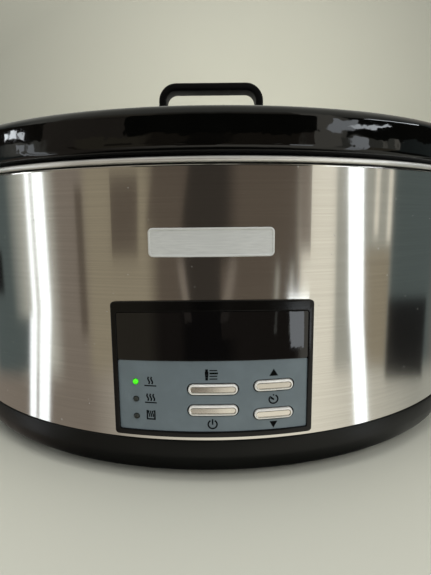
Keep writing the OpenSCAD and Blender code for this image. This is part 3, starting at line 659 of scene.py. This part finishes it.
class COOKER_OT_wrap(bpy.types.Operator):
    """Brushed steel wrap, open behind the control panel"""

    bl_idname = "cooker.wrap"
    bl_label = "Steel wrap"

    def execute(self, context):
        sheet, fold = 0.8, 0.5
        low, high = WRAP_LOW.z / MM, WRAP_HIGH.z / MM - sheet
        face = [(-sheet, low), (0, low), (0, high - 2 * fold)]
        top_edge = arc((-fold, high - fold), fold, 0, 90, 3) + [(-sheet, high)]
        piece = oval_sweep("steel_wrap", face + top_edge, closed=True)
        inset = 2.2 * MM
        half, bottom = PANEL_W / 2 - inset, PANEL_LOW.z + inset
        top = PANEL_HIGH.z - PANEL_BOW - inset
        for place, normal in (
            ((half, 0, 0), (1, 0, 0)),
            ((-half, 0, 0), (1, 0, 0)),
            ((0, 0, bottom), (0, 0, 1)),
            ((0, 0, top), (0, 0, 1)),
        ):
            bpy.ops.mesh.select_all(action="SELECT")
            bpy.ops.mesh.bisect(plane_co=place, plane_no=normal)
        pick("FACE", lambda c, n: abs(c.x) < half and c.y < 0 and bottom < c.z < top)
        bpy.ops.mesh.delete(type="FACE")
        pick("EDGE", lambda c, edge: edge.is_boundary)
        bpy.ops.mesh.bridge_edge_loops()
        face_outwards()
        smooth(piece, 30)
        finish = brushed_steel(context.scene.cooker_colours.steel, context.scene.cooker_sizes.grain)
        dress(piece, finish, "brushed_steel_wrap", "base", "steel_wrap")
        return {"FINISHED"}


class COOKER_OT_well(bpy.types.Operator):
    """Heating well of thin sheet, whose edge rolls over the top of the wrap"""

    bl_idname = "cooker.well"
    bl_label = "Heating well"

    def execute(self, context):
        rim, floor, radius, sheet_t = RIM_Z / MM, 40, 14, 0.7
        inner = -(17 + 10) - radius
        path = (
            [(-80, floor)]
            + arc((inner, floor + radius), radius, -90, 0, 10)
            + arc((-13.3, rim - 4), 4, 180, 90, 8)
            + arc((-0.4, rim - 1.5), 1.5, 90, -150, 16)
        )
        section = path + beside(path, -sheet_t)[::-1]
        piece = oval_sweep("heating_well", section)
        smooth(piece, 35)
        finish = polished_sheet("rolled_sheet", context.scene.cooker_colours.rim, 0.35, 0.45, 0.7)
        dress(piece, finish, "well_sheet", "base", "heating_well")
        return {"FINISHED"}


class COOKER_OT_crock(bpy.types.Operator):
    """Glazed stoneware crock: rounded collar, ledge for the lid and a deep oval bowl"""

    bl_idname = "cooker.crock"
    bl_label = "Crock"

    def execute(self, context):
        rim, top, low = RIM_Z / MM, COLLAR_TOP / MM, CROCK_Z / MM
        radius, wall, proud, ledge = 16, 6.5, 2.7, -6

        def outer(z):
            return -(17 + 10 * (rim - z) / (rim - 40)) - 2.5

        floor = low + wall + 1
        outside = outer(low) - radius
        inside = outer(floor) - wall - radius
        under = rim + 0.3
        section = (
            [(-80, low)]
            + arc((outside, low + radius), radius, -90, 0, 12)
            + [(outer(rim - 6), rim - 6), (outer(rim) + 2, under), (-6, under)]
            + arc((proud - 5, under + 6.2), 5, -90, 0, 8)
            + arc((proud - 6, top - 6), 6, 0, 90, 10)
            + arc((ledge + 1.5, top - 1.5), 1.5, 90, 180, 5)
            + arc((ledge - 0.8, top - 6.2), 0.8, 0, -90, 3)
            + arc((-15.2, top - 7.8), 0.8, 90, 180, 3)
            + [(-18, top - 8.8), (outer(rim) - wall, rim - 2), (outer(rim - 8) - wall, rim - 8)]
            + arc((inside, floor + radius), radius, 0, -90, 12)
            + [(-80, floor)]
        )
        piece = oval_sweep("crock", section)
        smooth(piece, 40)
        dress(piece, glazed_stoneware(context.scene.cooker_colours.glaze), "stoneware", "crock", "crock")
        return {"FINISHED"}


class COOKER_OT_lid(bpy.types.Operator):
    """Domed glass lid with a rounded edge, and the black loop handle on it"""

    bl_idname = "cooker.lid"
    bl_label = "Lid"

    def execute(self, context):
        self.dome()
        self.handle(context)
        return {"FINISHED"}

    def dome(self):
        thick, edge, rings = 4.0, -14, 14
        low, rise = LID_Z / MM, APEX_Z / MM - LID_Z / MM - thick
        rim = arc((-7.8, low + 1), 1, -90, 0, 3) + arc((-7.8, low + thick - 1), 1, 0, 90, 3)
        section = [(edge, low)] + rim + [(edge, low + thick)]
        piece = draw_oval("lid_glass", section)
        for height in (low, low + thick):
            level = height * MM
            pick("EDGE", lambda c, edge: edge.is_boundary and abs(c.z - level) < TOUCH)
            shrunk = 1.0
            for ring in range(1, rings):
                scale = 1 - ring / rings
                lift = rise * MM * (shrunk**2 - scale**2)
                bpy.ops.mesh.extrude_region_move(TRANSFORM_OT_translate={"value": (0, 0, lift)})
                factor = scale / shrunk
                bpy.ops.transform.resize(value=(factor, factor, 1), center_override=(0, 0, 0))
                shrunk = scale
            bpy.ops.mesh.extrude_region_move(TRANSFORM_OT_translate={"value": (0, 0, rise * MM * shrunk**2)})
            bpy.ops.mesh.merge(type="CENTER")
        face_outwards()
        smooth(piece, 40)
        dress(piece, clear_glass(), "lid_glass", "lid", "lid_glass")

    def handle(self, context):
        low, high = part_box("lid_handle")
        half, radius, bar, leg = high.x, 13 * MM, 5.5 * MM, 6 * MM
        outline = (
            [(half, low.z)]
            + arc((half - radius, high.z - radius), radius, 0, 90, 14)
            + arc((radius - half, high.z - radius), radius, 90, 180, 14)
            + [(-half, low.z), (leg - half, low.z)]
            + arc((radius - half, high.z - radius), radius - bar, 180, 90, 10)
            + arc((half - radius, high.z - radius), radius - bar, 90, 0, 10)
            + [(half - leg, low.z)]
        )
        rounding = context.scene.cooker_sizes.handle_round
        piece = flat_mesh("lid_handle", [outline], low.y, high.y, rounding)
        bpy.ops.object.mode_set(mode="OBJECT")
        piece.data.transform(Matrix.Rotation(math.pi / 2, 4, "X"))
        posts = []
        for side in (-1, 1):
            clear_selection()
            place = (side * (half - 6 * MM), 0, low.z + 3 * MM)
            bpy.ops.mesh.primitive_cone_add(
                vertices=48, radius1=8 * MM, radius2=6.5 * MM, depth=6 * MM, location=place
            )
            post = bpy.context.object
            modify(post, "BEVEL", width=0.6 * MM, segments=3, limit_method="ANGLE")
            bpy.ops.object.transform_apply()
            posts.append(post)
        piece = join([piece] + posts, "lid_handle")
        smooth(piece, 40)
        black = context.scene.cooker_colours.handle
        finish = moulded_plastic("phenolic_handle", black, 0.45, 0.55, 0.8 * MM, 1.22)
        dress(piece, finish, "handle_black", "lid", "lid_handle")


class COOKER_OT_side_handles(bpy.types.Operator):
    """Two moulded loop handles on the ends of the wrap"""

    bl_idname = "cooker.side_handles"
    bl_label = "Side handles"

    def execute(self, context):
        finish = moulded_plastic("moulded_handle_plastic", context.scene.cooker_colours.plastic, 0.3, 0.42)
        for side, node in ((1, "side_handle_right"), (-1, "side_handle_left")):
            low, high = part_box(node)
            height = (low.z + high.z) / 2
            reach = max(abs(low.x), abs(high.x)) - END_C
            bar = 12 * MM
            grip, foot, corner = reach - bar / 2, END_R + 2 * MM, 12 * MM
            spread = math.radians(26)
            bend = corner / grip
            path = [(foot, -spread), (grip - corner, -spread)]
            for t in (math.pi / 2 * i / 6 for i in range(1, 7)):
                path.append((grip - corner * (1 - math.sin(t)), -spread + bend * (1 - math.cos(t))))
            turns = 24
            path += [(grip, -spread + bend + (2 * spread - 2 * bend) * i / turns) for i in range(1, turns)]
            path += [(r, -a) for r, a in reversed(path[: len(path) - turns + 1])]
            points = [(END_C + r * math.cos(a), r * math.sin(a), height) for r, a in path]
            piece = join([self.swept(node, points, bar), self.foot_plate(node, height)], node)
            if side < 0:
                piece.data.transform(Matrix.Rotation(math.pi, 4, "Z"))
            smooth(piece, 35)
            dress(piece, finish, "black_plastic", "base", node)
        return {"FINISHED"}

    def swept(self, name, points, bar):
        """A bar with a rounded section along a path."""
        clear_selection()
        profile = bpy.data.curves.new("bar_section", "CURVE")
        profile.dimensions = "2D"
        add_spline(profile, [(x, y, 0) for x, y in plate(bar, -bar / 2, bar / 2, 4 * MM)], True)
        section = bpy.data.objects.new("bar_section", profile)
        curve = bpy.data.curves.new(name, "CURVE")
        curve.dimensions = "3D"
        curve.twist_mode = "Z_UP"
        curve.bevel_mode = "OBJECT"
        curve.bevel_object = section
        curve.use_fill_caps = True
        add_spline(curve, points, False)
        piece = as_mesh(name, curve)
        bpy.data.objects.remove(section)
        return piece

    def foot_plate(self, name, height):
        """The plate that the handle stands on, curved with the end of the wrap."""
        spread = math.radians(34)
        z = height / MM
        near, far = END_R / MM + 0.1, END_R / MM + 4
        slope, edge, half = 1.5, 11, 13
        section = [(near, z - half), (far - slope, z - half), (far, z - edge)]
        section += [(r, 2 * z - h) for r, h in reversed(section)]
        across, along = math.cos(spread) * MM, math.sin(spread) * MM
        points = [Vector((END_C + r * across, -r * along, h * MM)) for r, h in section]
        piece = draw_line(name + "_foot", points + points[:1])
        bpy.ops.mesh.remove_doubles(threshold=TOUCH)
        bpy.ops.mesh.edge_face_add()
        spin((END_C, 0, 0), 2 * spread, 28)
        bpy.ops.mesh.select_all(action="SELECT")
        bpy.ops.mesh.remove_doubles(threshold=TOUCH)
        face_outwards()
        bpy.ops.object.mode_set(mode="OBJECT")
        modify(piece, "BEVEL", width=0.6 * MM, segments=2, limit_method="ANGLE", angle_limit=math.radians(25))
        return piece


# ---------------------------------------------------------------- control panel


def middle_of(node):
    low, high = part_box(node)
    return (low.x + high.x) / 2, (low.z + high.z) / 2


def button_at(node):
    """Middle and size of a button's face, from the frame. A flange runs round it behind the panel."""
    low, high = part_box(node)
    flange = 1.1 * MM
    return *middle_of(node), high.x - low.x - 2 * flange, high.z - low.z - 2 * flange


class COOKER_OT_panel(bpy.types.Operator):
    """Frame, lens and printed overlay of the control panel"""

    bl_idname = "cooker.panel"
    bl_label = "Control panel"

    def execute(self, context):
        colours, sizes = context.scene.cooker_colours, context.scene.cooker_sizes
        low, high = PANEL_LOW.z, PANEL_HIGH.z - PANEL_BOW
        inner_w = PANEL_W - 2 * 2.9 * MM
        window_low, window_high = low + 3.1 * MM, high - 5.7 * MM
        outer = plate(PANEL_W, low, high, 2 * MM, PANEL_BOW)
        window = plate(inner_w, window_low, window_high, 1.2 * MM, PANEL_BOW)
        ring = flat_mesh("frame", [outer, window], 0.1 * MM, 1.8 * MM, sizes.frame_round)
        press_to_front(ring)
        inset = 2.3 * MM
        back = plate(PANEL_W - 2 * inset, low + inset, high - inset, 1.4 * MM, PANEL_BOW)
        floor = flat_mesh("frame_back", [back] + self.holes(0.6 * MM, 1.65 * MM), -2.2 * MM, 0.35 * MM)
        press_to_front(floor)
        piece = join([ring, floor], "panel_bezel")
        smooth(piece, 35)
        gloss = moulded_plastic("gloss_frame_plastic", colours.frame, 0.12, 0.2, 1.2 * MM, 1.32)
        dress(piece, gloss, "gloss_black", "base", "panel_bezel")

        gap, corner = 0.1 * MM, 1.1 * MM
        film_w = inner_w - 2 * gap
        split = OVERLAY_TOP - PANEL_BOW / 2
        lens = plate(film_w, split + gap, window_high - gap, corner, PANEL_BOW, PANEL_BOW / 2)
        piece = flat_mesh("display_lens", [lens], 0.45 * MM, 1.4 * MM, 0.2 * MM)
        press_to_front(piece)
        smooth(piece, 35)
        clear = moulded_plastic("lens_acrylic", linear("#050506"), 0.03, 0.06, 3 * MM)
        dress(piece, clear, "lens_acrylic", "base", "display_lens")

        film = plate(film_w, window_low + gap, split, corner, PANEL_BOW / 2)
        holes = self.holes(1.6 * MM, 1.7 * MM)
        piece = flat_mesh("panel_overlay", [film] + holes, 0.45 * MM, 0.9 * MM, 0.06 * MM)
        press_to_front(piece)
        smooth(piece, 35)
        dress(piece, overlay_film(colours.overlay), "overlay_film", "base", "panel_overlay")
        return {"FINISHED"}

    def holes(self, play, lamp_radius):
        """Slots that leave play round the buttons, and round holes for the lamps."""
        slots = [pill(x, z, width + play, height + play) for x, z, width, height in map(button_at, BUTTONS)]
        return slots + [circle(*middle_of(node), lamp_radius) for node in LAMPS]


class COOKER_OT_buttons(bpy.types.Operator):
    """Four metal-plated push buttons with a raised rim and a dished face; the rim's lighter colour is a
    painted highlight
    """

    bl_idname = "cooker.buttons"
    bl_label = "Push buttons"

    def execute(self, context):
        colours, sizes = context.scene.cooker_colours, context.scene.cooker_sizes
        finish = polished_sheet("plated_button", colours.button, 0.16, 0.24)
        # the rim's faces get a lighter, non-metal copy of the plating: a painted highlight for the lip's
        # bright reflections
        rim = moulded_plastic("button_rim_painted_highlight", colours.painted_button_highlight, 0.2, 0.3, ior=1.9)
        groups = frame["record"]["behaviour"]["bodies"]
        bodies = {node: body for body, nodes in groups.items() for node in nodes}
        front, back, highlight_rim_width = 2.2 * MM, -2.6 * MM, 0.85 * MM
        for node in BUTTONS:
            x, z, width, height = button_at(node)
            clear_selection()
            bpy.ops.mesh.primitive_circle_add(
                vertices=64, radius=height / 2, fill_type="NGON", location=(x, z, back)
            )
            piece = bpy.context.object
            bpy.ops.object.transform_apply()
            bpy.ops.object.mode_set(mode="EDIT")
            for side in (-1, 1):
                pick("VERT", lambda co, n: (co.x - x) * side > 0.1 * MM)
                bpy.ops.transform.translate(value=(side * (width - height) / 2, 0, 0))
            bpy.ops.mesh.select_all(action="SELECT")
            bpy.ops.mesh.extrude_region_move(TRANSFORM_OT_translate={"value": (0, 0, front - back)})
            face_outwards()
            pick("FACE", lambda c, n: c.z > front - TOUCH)
            bpy.ops.mesh.bevel(offset=sizes.button_round, segments=5, affect="EDGES")
            pick("FACE", lambda c, n: c.z > front - TOUCH and n.z > 0.99)
            for inward, down in ((0.3, 0), (0.15, 0.08), (0.2, 0.28), (0.15, 0.1), (0.12, 0)):
                bpy.ops.mesh.inset(thickness=inward * MM, depth=-down * MM)
            press_to_front(piece)
            clear_selection()
            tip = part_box(node.replace("button", "plunger"))[0].y
            place = (x, (front_y(x, back) + tip) / 2, z)
            depth = tip - front_y(x, back) + 1 * MM
            bpy.ops.mesh.primitive_cylinder_add(
                vertices=32, radius=2 * MM, depth=depth, location=place, rotation=(math.pi / 2, 0, 0)
            )
            bpy.ops.object.transform_apply()
            stem = bpy.context.object
            stem.data.transform(Matrix.Translation((0, tip - max(v.co.y for v in stem.data.vertices), 0)))
            piece = join([piece, stem], node)
            smooth(piece, 50)
            dress(piece, finish, "silver_button", bodies[node], node)
            piece.data.materials.append(rim)
            # faces near the edge take the second material, the painted highlight
            for face in piece.data.polygons:
                along = max(0, abs(face.center.x - x) - (width - height) / 2)
                face.material_index = int(math.hypot(along, face.center.z - z) > height / 2 - highlight_rim_width)
        return {"FINISHED"}


class COOKER_OT_lamps(bpy.types.Operator):
    """Three indicator lamps with round caps; the lowest setting's lamp is lit"""

    bl_idname = "cooker.lamps"
    bl_label = "Indicator lamps"

    def execute(self, context):
        lit = lit_lamp(context.scene.cooker_colours.lamp)
        off = moulded_plastic("lamp_off", linear("#30322d"), 0.2, 0.35, ior=1.3)
        for node in LAMPS:
            low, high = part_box(node)
            radius = (high.x - low.x) / 2 - 0.1 * MM
            x, z = middle_of(node)
            middle = (x, low.y + radius, z)
            clear_selection()
            bpy.ops.mesh.primitive_uv_sphere_add(segments=32, ring_count=16, radius=radius, location=middle)
            piece = bpy.context.object
            bpy.ops.object.transform_apply()
            bpy.ops.object.mode_set(mode="EDIT")
            bpy.ops.mesh.select_all(action="SELECT")
            bpy.ops.mesh.bisect(plane_co=middle, plane_no=(0, 1, 0), clear_outer=True, use_fill=True)
            pick("FACE", lambda c, n: abs(c.y - middle[1]) < TOUCH)
            bpy.ops.mesh.extrude_region_move(TRANSFORM_OT_translate={"value": (0, high.y - middle[1], 0)})
            face_outwards()
            bpy.ops.object.mode_set(mode="OBJECT")
            piece.name = node
            smooth(piece, 50)
            is_lit = node == LAMPS[0]
            dress(piece, lit if is_lit else off, "lamp_lit" if is_lit else "lamp_off", "base", node)
        return {"FINISHED"}


class COOKER_OT_symbols(bpy.types.Operator):
    """Printed symbols on the overlay: heat settings, list, power, clock and arrows"""

    bl_idname = "cooker.symbols"
    bl_label = "Printed symbols"

    def execute(self, context):
        line = context.scene.cooker_sizes.symbol_line / MM
        ink = moulded_plastic("printed_ink", context.scene.cooker_colours.symbol, 0.5, 0.6, ior=1.15)
        symbols = {
            "low_symbol": self.heat(-34, 56.3, 2, line),
            "high_symbol": self.heat(-34, 46.7, 3, line),
            "warm_symbol": self.pot(-34.1, 39.5, line),
            "list_symbol": self.list_lines(-0.4, 63.1, line),
            "power_symbol": self.power(-0.4, 35.0, line),
            "up_symbol": [[(30.5, 61.4), (35.3, 61.4), (32.9, 65.3)]],
            "down_symbol": [[(30.8, 35.4), (33.0, 31.5), (35.2, 35.4)]],
            "clock_symbol": self.clock(32.9, 48.1, line),
        }
        for name, outlines in symbols.items():
            scaled = [[(x * MM, z * MM) for x, z in outline] for outline in outlines]
            piece = flat_mesh(name, scaled, 0.88 * MM, 0.95 * MM)
            press_to_front(piece, 2 * MM)
            piece.name = name
            dress(piece, ink, "gloss_black", "base")
        return {"FINISHED"}

    def heat(self, x, low, waves, line):
        """Rising heat waves over a level line."""
        outlines = [stroke([(x - 3.3, low), (x + 3.3, low)], line * 0.8)]
        for i in range(waves):
            middle = x + (i - (waves - 1) / 2) * 1.7
            path = [(middle + 0.4 * math.sin(2 * math.pi * k / 10), low + 1 + 4 * k / 10) for k in range(11)]
            outlines.append(stroke(path, line))
        return outlines

    def pot(self, x, z, line):
        """A pot with steam in it, as a square outline with an open top."""
        half, lip, top, bottom = 2.1, 1.4, z + 2.4, z - 2.3
        left = [(x - lip, top), (x - half, top), (x - half, bottom)]
        right = [(x + half, bottom), (x + half, top), (x + lip, top)]
        outlines = [stroke(left + right, line)]
        for middle in (x - 1.05, x, x + 1.05):
            path = [(middle + 0.25 * math.sin(math.pi * k / 4), z - 1.1 + 3.6 * k / 8) for k in range(9)]
            outlines.append(stroke(path, line * 0.8))
        return outlines

    def list_lines(self, x, z, line):
        """A list: a column of marks and four lines, of which the second is chosen."""
        outlines = []
        top, pitch, mark_x, start = z + 2.35, 1.57, x - 2.9, x - 1.4
        for i in range(4):
            height = top - i * pitch
            mark, end, weight = (1.9, x + 3.2, 1.2) if i == 1 else (1.45, x + 2.8, 0.75)
            outlines.append(stroke([(mark_x - mark / 2, height), (mark_x + mark / 2, height)], mark))
            outlines.append(stroke([(start, height), (end, height)], line * weight))
        return outlines

    def power(self, x, z, line):
        """A broken ring with an upright stroke."""
        return [stroke(arc((x, z), 2.4, 62, -242, 28), line), stroke([(x, z - 0.2), (x, z + 3)], line)]

    def clock(self, x, z, line):
        """A timer: an open ring with one hand."""
        hand = stroke([(x - 2, z + 1.5), (x + 0.3, z - 0.3)], line * 1.1)
        return [stroke(arc((x, z), 2.4, 62, -218, 28), line), hand, circle(x, z + 2.4, 0.45, 12)]


class COOKER_OT_badge(bpy.types.Operator):
    """Bare metal badge plate with a narrow raised border"""

    bl_idname = "cooker.badge"
    bl_label = "Badge plate"

    def execute(self, context):
        low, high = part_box("badge_plate")
        width = high.x - low.x
        border, overlap, back = 1.1 * MM, 0.22 * MM, 0.1 * MM
        outer = plate(width, low.z, high.z, 2.4 * MM)
        window = plate(width - 2 * border, low.z + border, high.z - border, 1.6 * MM)
        ring = flat_mesh("badge_rim", [outer, window], back, 1.6 * MM, 0.3 * MM)
        press_to_front(ring)
        inset = border - overlap
        inner = plate(width - 2 * inset, low.z + inset, high.z - inset, 1.7 * MM)
        face = flat_mesh("badge_face", [inner], back, 1.25 * MM)
        press_to_front(face)
        piece = join([ring, face], "badge_plate")
        smooth(piece, 35)
        finish = satin_plate(context.scene.cooker_colours.badge)
        dress(piece, finish, "badge_metal", "base", "badge_plate")
        return {"FINISHED"}


# ---------------------------------------------------------------- carried pieces


class COOKER_OT_carried(bpy.types.Operator):
    """Finishes the frame's own pieces: feet, bottom plate, fasteners, heater and electronics"""

    bl_idname = "cooker.carried"
    bl_label = "Carried pieces"

    def execute(self, context):
        steel = polished_sheet("zinc_plated_steel", linear("#a9aaa8"), 0.3, 0.45)
        galvanised = polished_sheet("galvanised_sheet", linear("#9c9fa1"), 0.38, 0.55)
        finishes = {
            "zinc_sheet": galvanised,
            "screw_steel": steel,
            "well_sheet": galvanised,
            "foot_rubber": moulded_plastic("foot_rubber", linear("#8f9496"), 0.6, 0.75),
            "black_plastic": moulded_plastic("inner_black_plastic", linear("#161715"), 0.35, 0.5),
            "gloss_black": moulded_plastic("inner_gloss_plastic", linear("#0b0b0a"), 0.2, 0.3),
            "handle_black": moulded_plastic("inner_handle_plastic", linear("#0a0b0b"), 0.2, 0.3),
            "heater_mica": moulded_plastic("mica_wound_band", linear("#8d8270"), 0.45, 0.6, 1.5 * MM),
            "fuse_ceramic": moulded_plastic("fuse_ceramic", linear("#dcd8cc"), 0.3, 0.4),
            "nylon": moulded_plastic("natural_nylon", linear("#dddacb"), 0.35, 0.45),
            "circuit_board": circuit_board(),
            "component_plastic": moulded_plastic("component_plastic", linear("#26374f"), 0.3, 0.42),
            "display_glass": moulded_plastic("display_glass", linear("#1b1e1c"), 0.06, 0.12, 3 * MM),
            "silicone": moulded_plastic("black_silicone", linear("#1d1e1e"), 0.5, 0.6),
            "silver_button": steel,
        }
        slots = {entry["node"]: entry["material_slot"] for entry in frame["record"]["subparts"]}
        for name, piece in frame["nodes"].items():
            if piece.hide_render:
                continue
            piece.data.materials.clear()
            piece.data.materials.append(finishes[slots[name]])
        return {"FINISHED"}


# ---------------------------------------------------------------- stage


class COOKER_OT_stage(bpy.types.Operator):
    """Camera, pale floor and wall with a painted pool of light on them, soft lights and the reflector that
    the metal mirrors
    """

    bl_idname = "cooker.stage"
    bl_label = "Stage"

    def execute(self, context):
        self.camera(context)
        self.backdrop(context)
        self.reflector(context)
        self.lights(context)
        context.scene.view_settings.view_transform = "Standard"
        return {"FINISHED"}

    def camera(self, context):
        data = bpy.data.cameras.new("camera")
        data.lens = 27.05
        data.sensor_width = 36
        data.clip_start = 0.01
        camera = bpy.data.objects.new("camera", data)
        context.scene.collection.objects.link(camera)
        place = Matrix.Translation((1.9 * MM, -348 * MM, 144 * MM))
        tilt = Matrix.Rotation(math.radians(90 - 8.67), 4, "X")
        roll = Matrix.Rotation(math.radians(-0.57), 4, "Z")
        camera.matrix_world = place @ tilt @ roll
        context.scene.camera = camera

    def backdrop(self, context):
        colours = context.scene.cooker_colours
        for name, colour, place, turn, middle, spread, level in (
            ("floor", colours.floor, (0, 0, 0), (0, 0, 0), (0.1, -0.1, 0), (2.2, 2.2, 1), 0.6),
            ("wall", colours.wall, (0, 0.9, 0), (math.pi / 2, 0, 0), (-0.14, -0.9, -0.5), (1.2, 1, 1.8), 0.6),
        ):
            clear_selection()
            bpy.ops.mesh.primitive_plane_add(size=6, location=place, rotation=turn)
            piece = context.object
            piece.name = name
            bpy.ops.object.transform_apply()
            material, tree, shader, at = blank(name + "_paint")
            tone = shade(tree, patches(tree, at, 0.4, 2), rgba(colour, 0.96), rgba(colour, 1.03))
            # painted pool of light: the mottled tone stays full round a middle point and falls to level times
            # it further out
            painted_light_pool = add(tree, "Mapping", {"Vector": at, "Location": middle, "Scale": spread}).outputs[0]
            share = add(tree, "TexGradient", {"Vector": painted_light_pool}, gradient_type="SPHERICAL").outputs["Fac"]
            tone = shade(tree, share, rgba(colour, level), tone, 0, 0.65)
            piece.visible_glossy = name == "wall"
            set_sockets(tree, shader, Base_Color=tone, Roughness=0.6)
            piece.data.materials.append(material)

    def reflector(self, context):
        """A closed bowl round the object that only reflections see: the bands of a room at eye level, a
        pale table below them that turns black further down as a painted shadow round the object's foot, and a
        bright ceiling above, with cards for windows and furniture."""
        radius = context.scene.cooker_sizes.studio
        material, tree, glow, at = self.light("room_light")
        angle = add(tree, "TexGradient", {"Vector": at}, gradient_type="RADIAL").outputs["Fac"]
        height = add(tree, "SeparateXYZ", {"Vector": at}).outputs["Z"]
        table, walls = self.bands(tree, angle, TABLE), self.bands(tree, angle, ROOM)
        tone = shade(tree, height, table, walls, -0.13, -0.09)
        # below the table the bowl fades to black: painted shadow, the shade on the table round and under the
        # object
        tone = shade(tree, height, rgba(linear(TONES["black"])), tone, -0.65, -0.35)
        tone = shade(tree, height, tone, rgba(linear(TONES["stone"])), 0.42, 0.8)
        tree.links.new(tone, glow.inputs["Color"])
        bowl = ((0.01, -0.9), (0.45, -0.9), (radius, -0.6), (radius, 1.6), (0.01, 1.6))
        piece = draw_line("room", [Vector((0, -out, z)) for out, z in bowl])
        spin((0, 0, 0), 2 * math.pi, 96)
        self.only_reflected(piece, material)
        for layer, (name, start, end, low, high, lean, tone, times) in enumerate(CARDS, 1):
            reach = radius - layer * CARD_GAP
            edge = [self.on_ring(reach, start, low), self.on_ring(reach, start + lean, high)]
            piece = draw_line(name, edge)
            spin((0, 0, 0), math.radians(end - start), max(2, round((end - start) / 2)))
            material, tree, glow, at = self.light(name + "_light", times)
            set_sockets(tree, glow, Color=rgba(linear(TONES[tone])))
            self.only_reflected(piece, material)

    def light(self, name, times=1):
        """An even light, as bright as steel needs to show its colour."""
        material, tree, shader, at = blank(name)
        tree.nodes.remove(shader)
        glow = add(tree, "Emission", {"Strength": times / STEEL_SHARE})
        output = next(n for n in tree.nodes if n.type == "OUTPUT_MATERIAL")
        tree.links.new(glow.outputs[0], output.inputs["Surface"])
        return material, tree, glow, at

    def on_ring(self, radius, degrees, height):
        turn = math.radians(degrees)
        return Vector((radius * math.sin(turn), -radius * math.cos(turn), height))

    def bands(self, tree, angle, rows):
        """Tones by angle round the object."""
        node = add(tree, "ValToRGB", {"Fac": angle})
        ramp = node.color_ramp
        stops = [((0.25 + degrees / 360) % 1, tone) for tone, *ends in rows for degrees in ends]
        for i, (place, tone) in enumerate(sorted(stops)):
            stop = ramp.elements[i] if i < 2 else ramp.elements.new(place)
            stop.position = place
            stop.color = rgba(linear(TONES[tone]))
        return node.outputs["Color"]

    def only_reflected(self, piece, material):
        bpy.ops.object.mode_set(mode="OBJECT")
        piece.data.materials.append(material)
        piece.visible_camera = False
        piece.visible_diffuse = False
        piece.visible_shadow = False
        piece.visible_transmission = False

    def lights(self, context):
        world = bpy.data.worlds.new("room")
        world.use_nodes = True
        world.node_tree.nodes["Background"].inputs["Color"].default_value = (0.92, 0.95, 1.0, 1)
        world.node_tree.nodes["Background"].inputs["Strength"].default_value = 0.55
        context.scene.world = world
        for name, place, aim, size, power in (
            ("overhead", (0, 0.15, 1.3), (0, 0, 0.1), 1.2, 14),
            ("window", (0.6, -0.85, 0.75), (0, 0, 0.1), 0.7, 4),
        ):
            data = bpy.data.lights.new(name, "AREA")
            data.shape = "SQUARE"
            data.size = size
            data.energy = power
            lamp = bpy.data.objects.new(name, data)
            context.scene.collection.objects.link(lamp)
            lamp.location = place
            lamp.rotation_euler = (Vector(aim) - Vector(place)).to_track_quat("-Z", "Y").to_euler()
            lamp.visible_glossy = False


class COOKER_PT_panel(bpy.types.Panel):
    bl_idname = "COOKER_PT_panel"
    bl_label = "Oval slow cooker"
    bl_space_type = "VIEW_3D"
    bl_region_type = "UI"
    bl_category = "Cooker"

    def draw(self, context):
        for group in (context.scene.cooker_sizes, context.scene.cooker_colours):
            for key in group.bl_rna.properties.keys():
                if key not in ("rna_type", "name"):
                    self.layout.prop(group, key)
        for operator in OPERATORS:
            self.layout.operator(operator.bl_idname)


GROUPS = (CookerColours, CookerSizes)
OPERATORS = (
    COOKER_OT_stage,
    COOKER_OT_base,
    COOKER_OT_wrap,
    COOKER_OT_well,
    COOKER_OT_crock,
    COOKER_OT_lid,
    COOKER_OT_side_handles,
    COOKER_OT_panel,
    COOKER_OT_buttons,
    COOKER_OT_lamps,
    COOKER_OT_symbols,
    COOKER_OT_badge,
    COOKER_OT_carried,
)
CLASSES = GROUPS + OPERATORS + (COOKER_PT_panel,)


def register():
    for cls in CLASSES:
        bpy.utils.register_class(cls)
    bpy.types.Scene.cooker_colours = bpy.props.PointerProperty(type=CookerColours)
    bpy.types.Scene.cooker_sizes = bpy.props.PointerProperty(type=CookerSizes)


def unregister():
    del bpy.types.Scene.cooker_sizes
    del bpy.types.Scene.cooker_colours
    for cls in reversed(CLASSES):
        bpy.utils.unregister_class(cls)


def main():
    register()
    for operator in OPERATORS:
        area, name = operator.bl_idname.split(".")
        getattr(getattr(bpy.ops, area), name)()


if __name__ == "__main__":
    main()
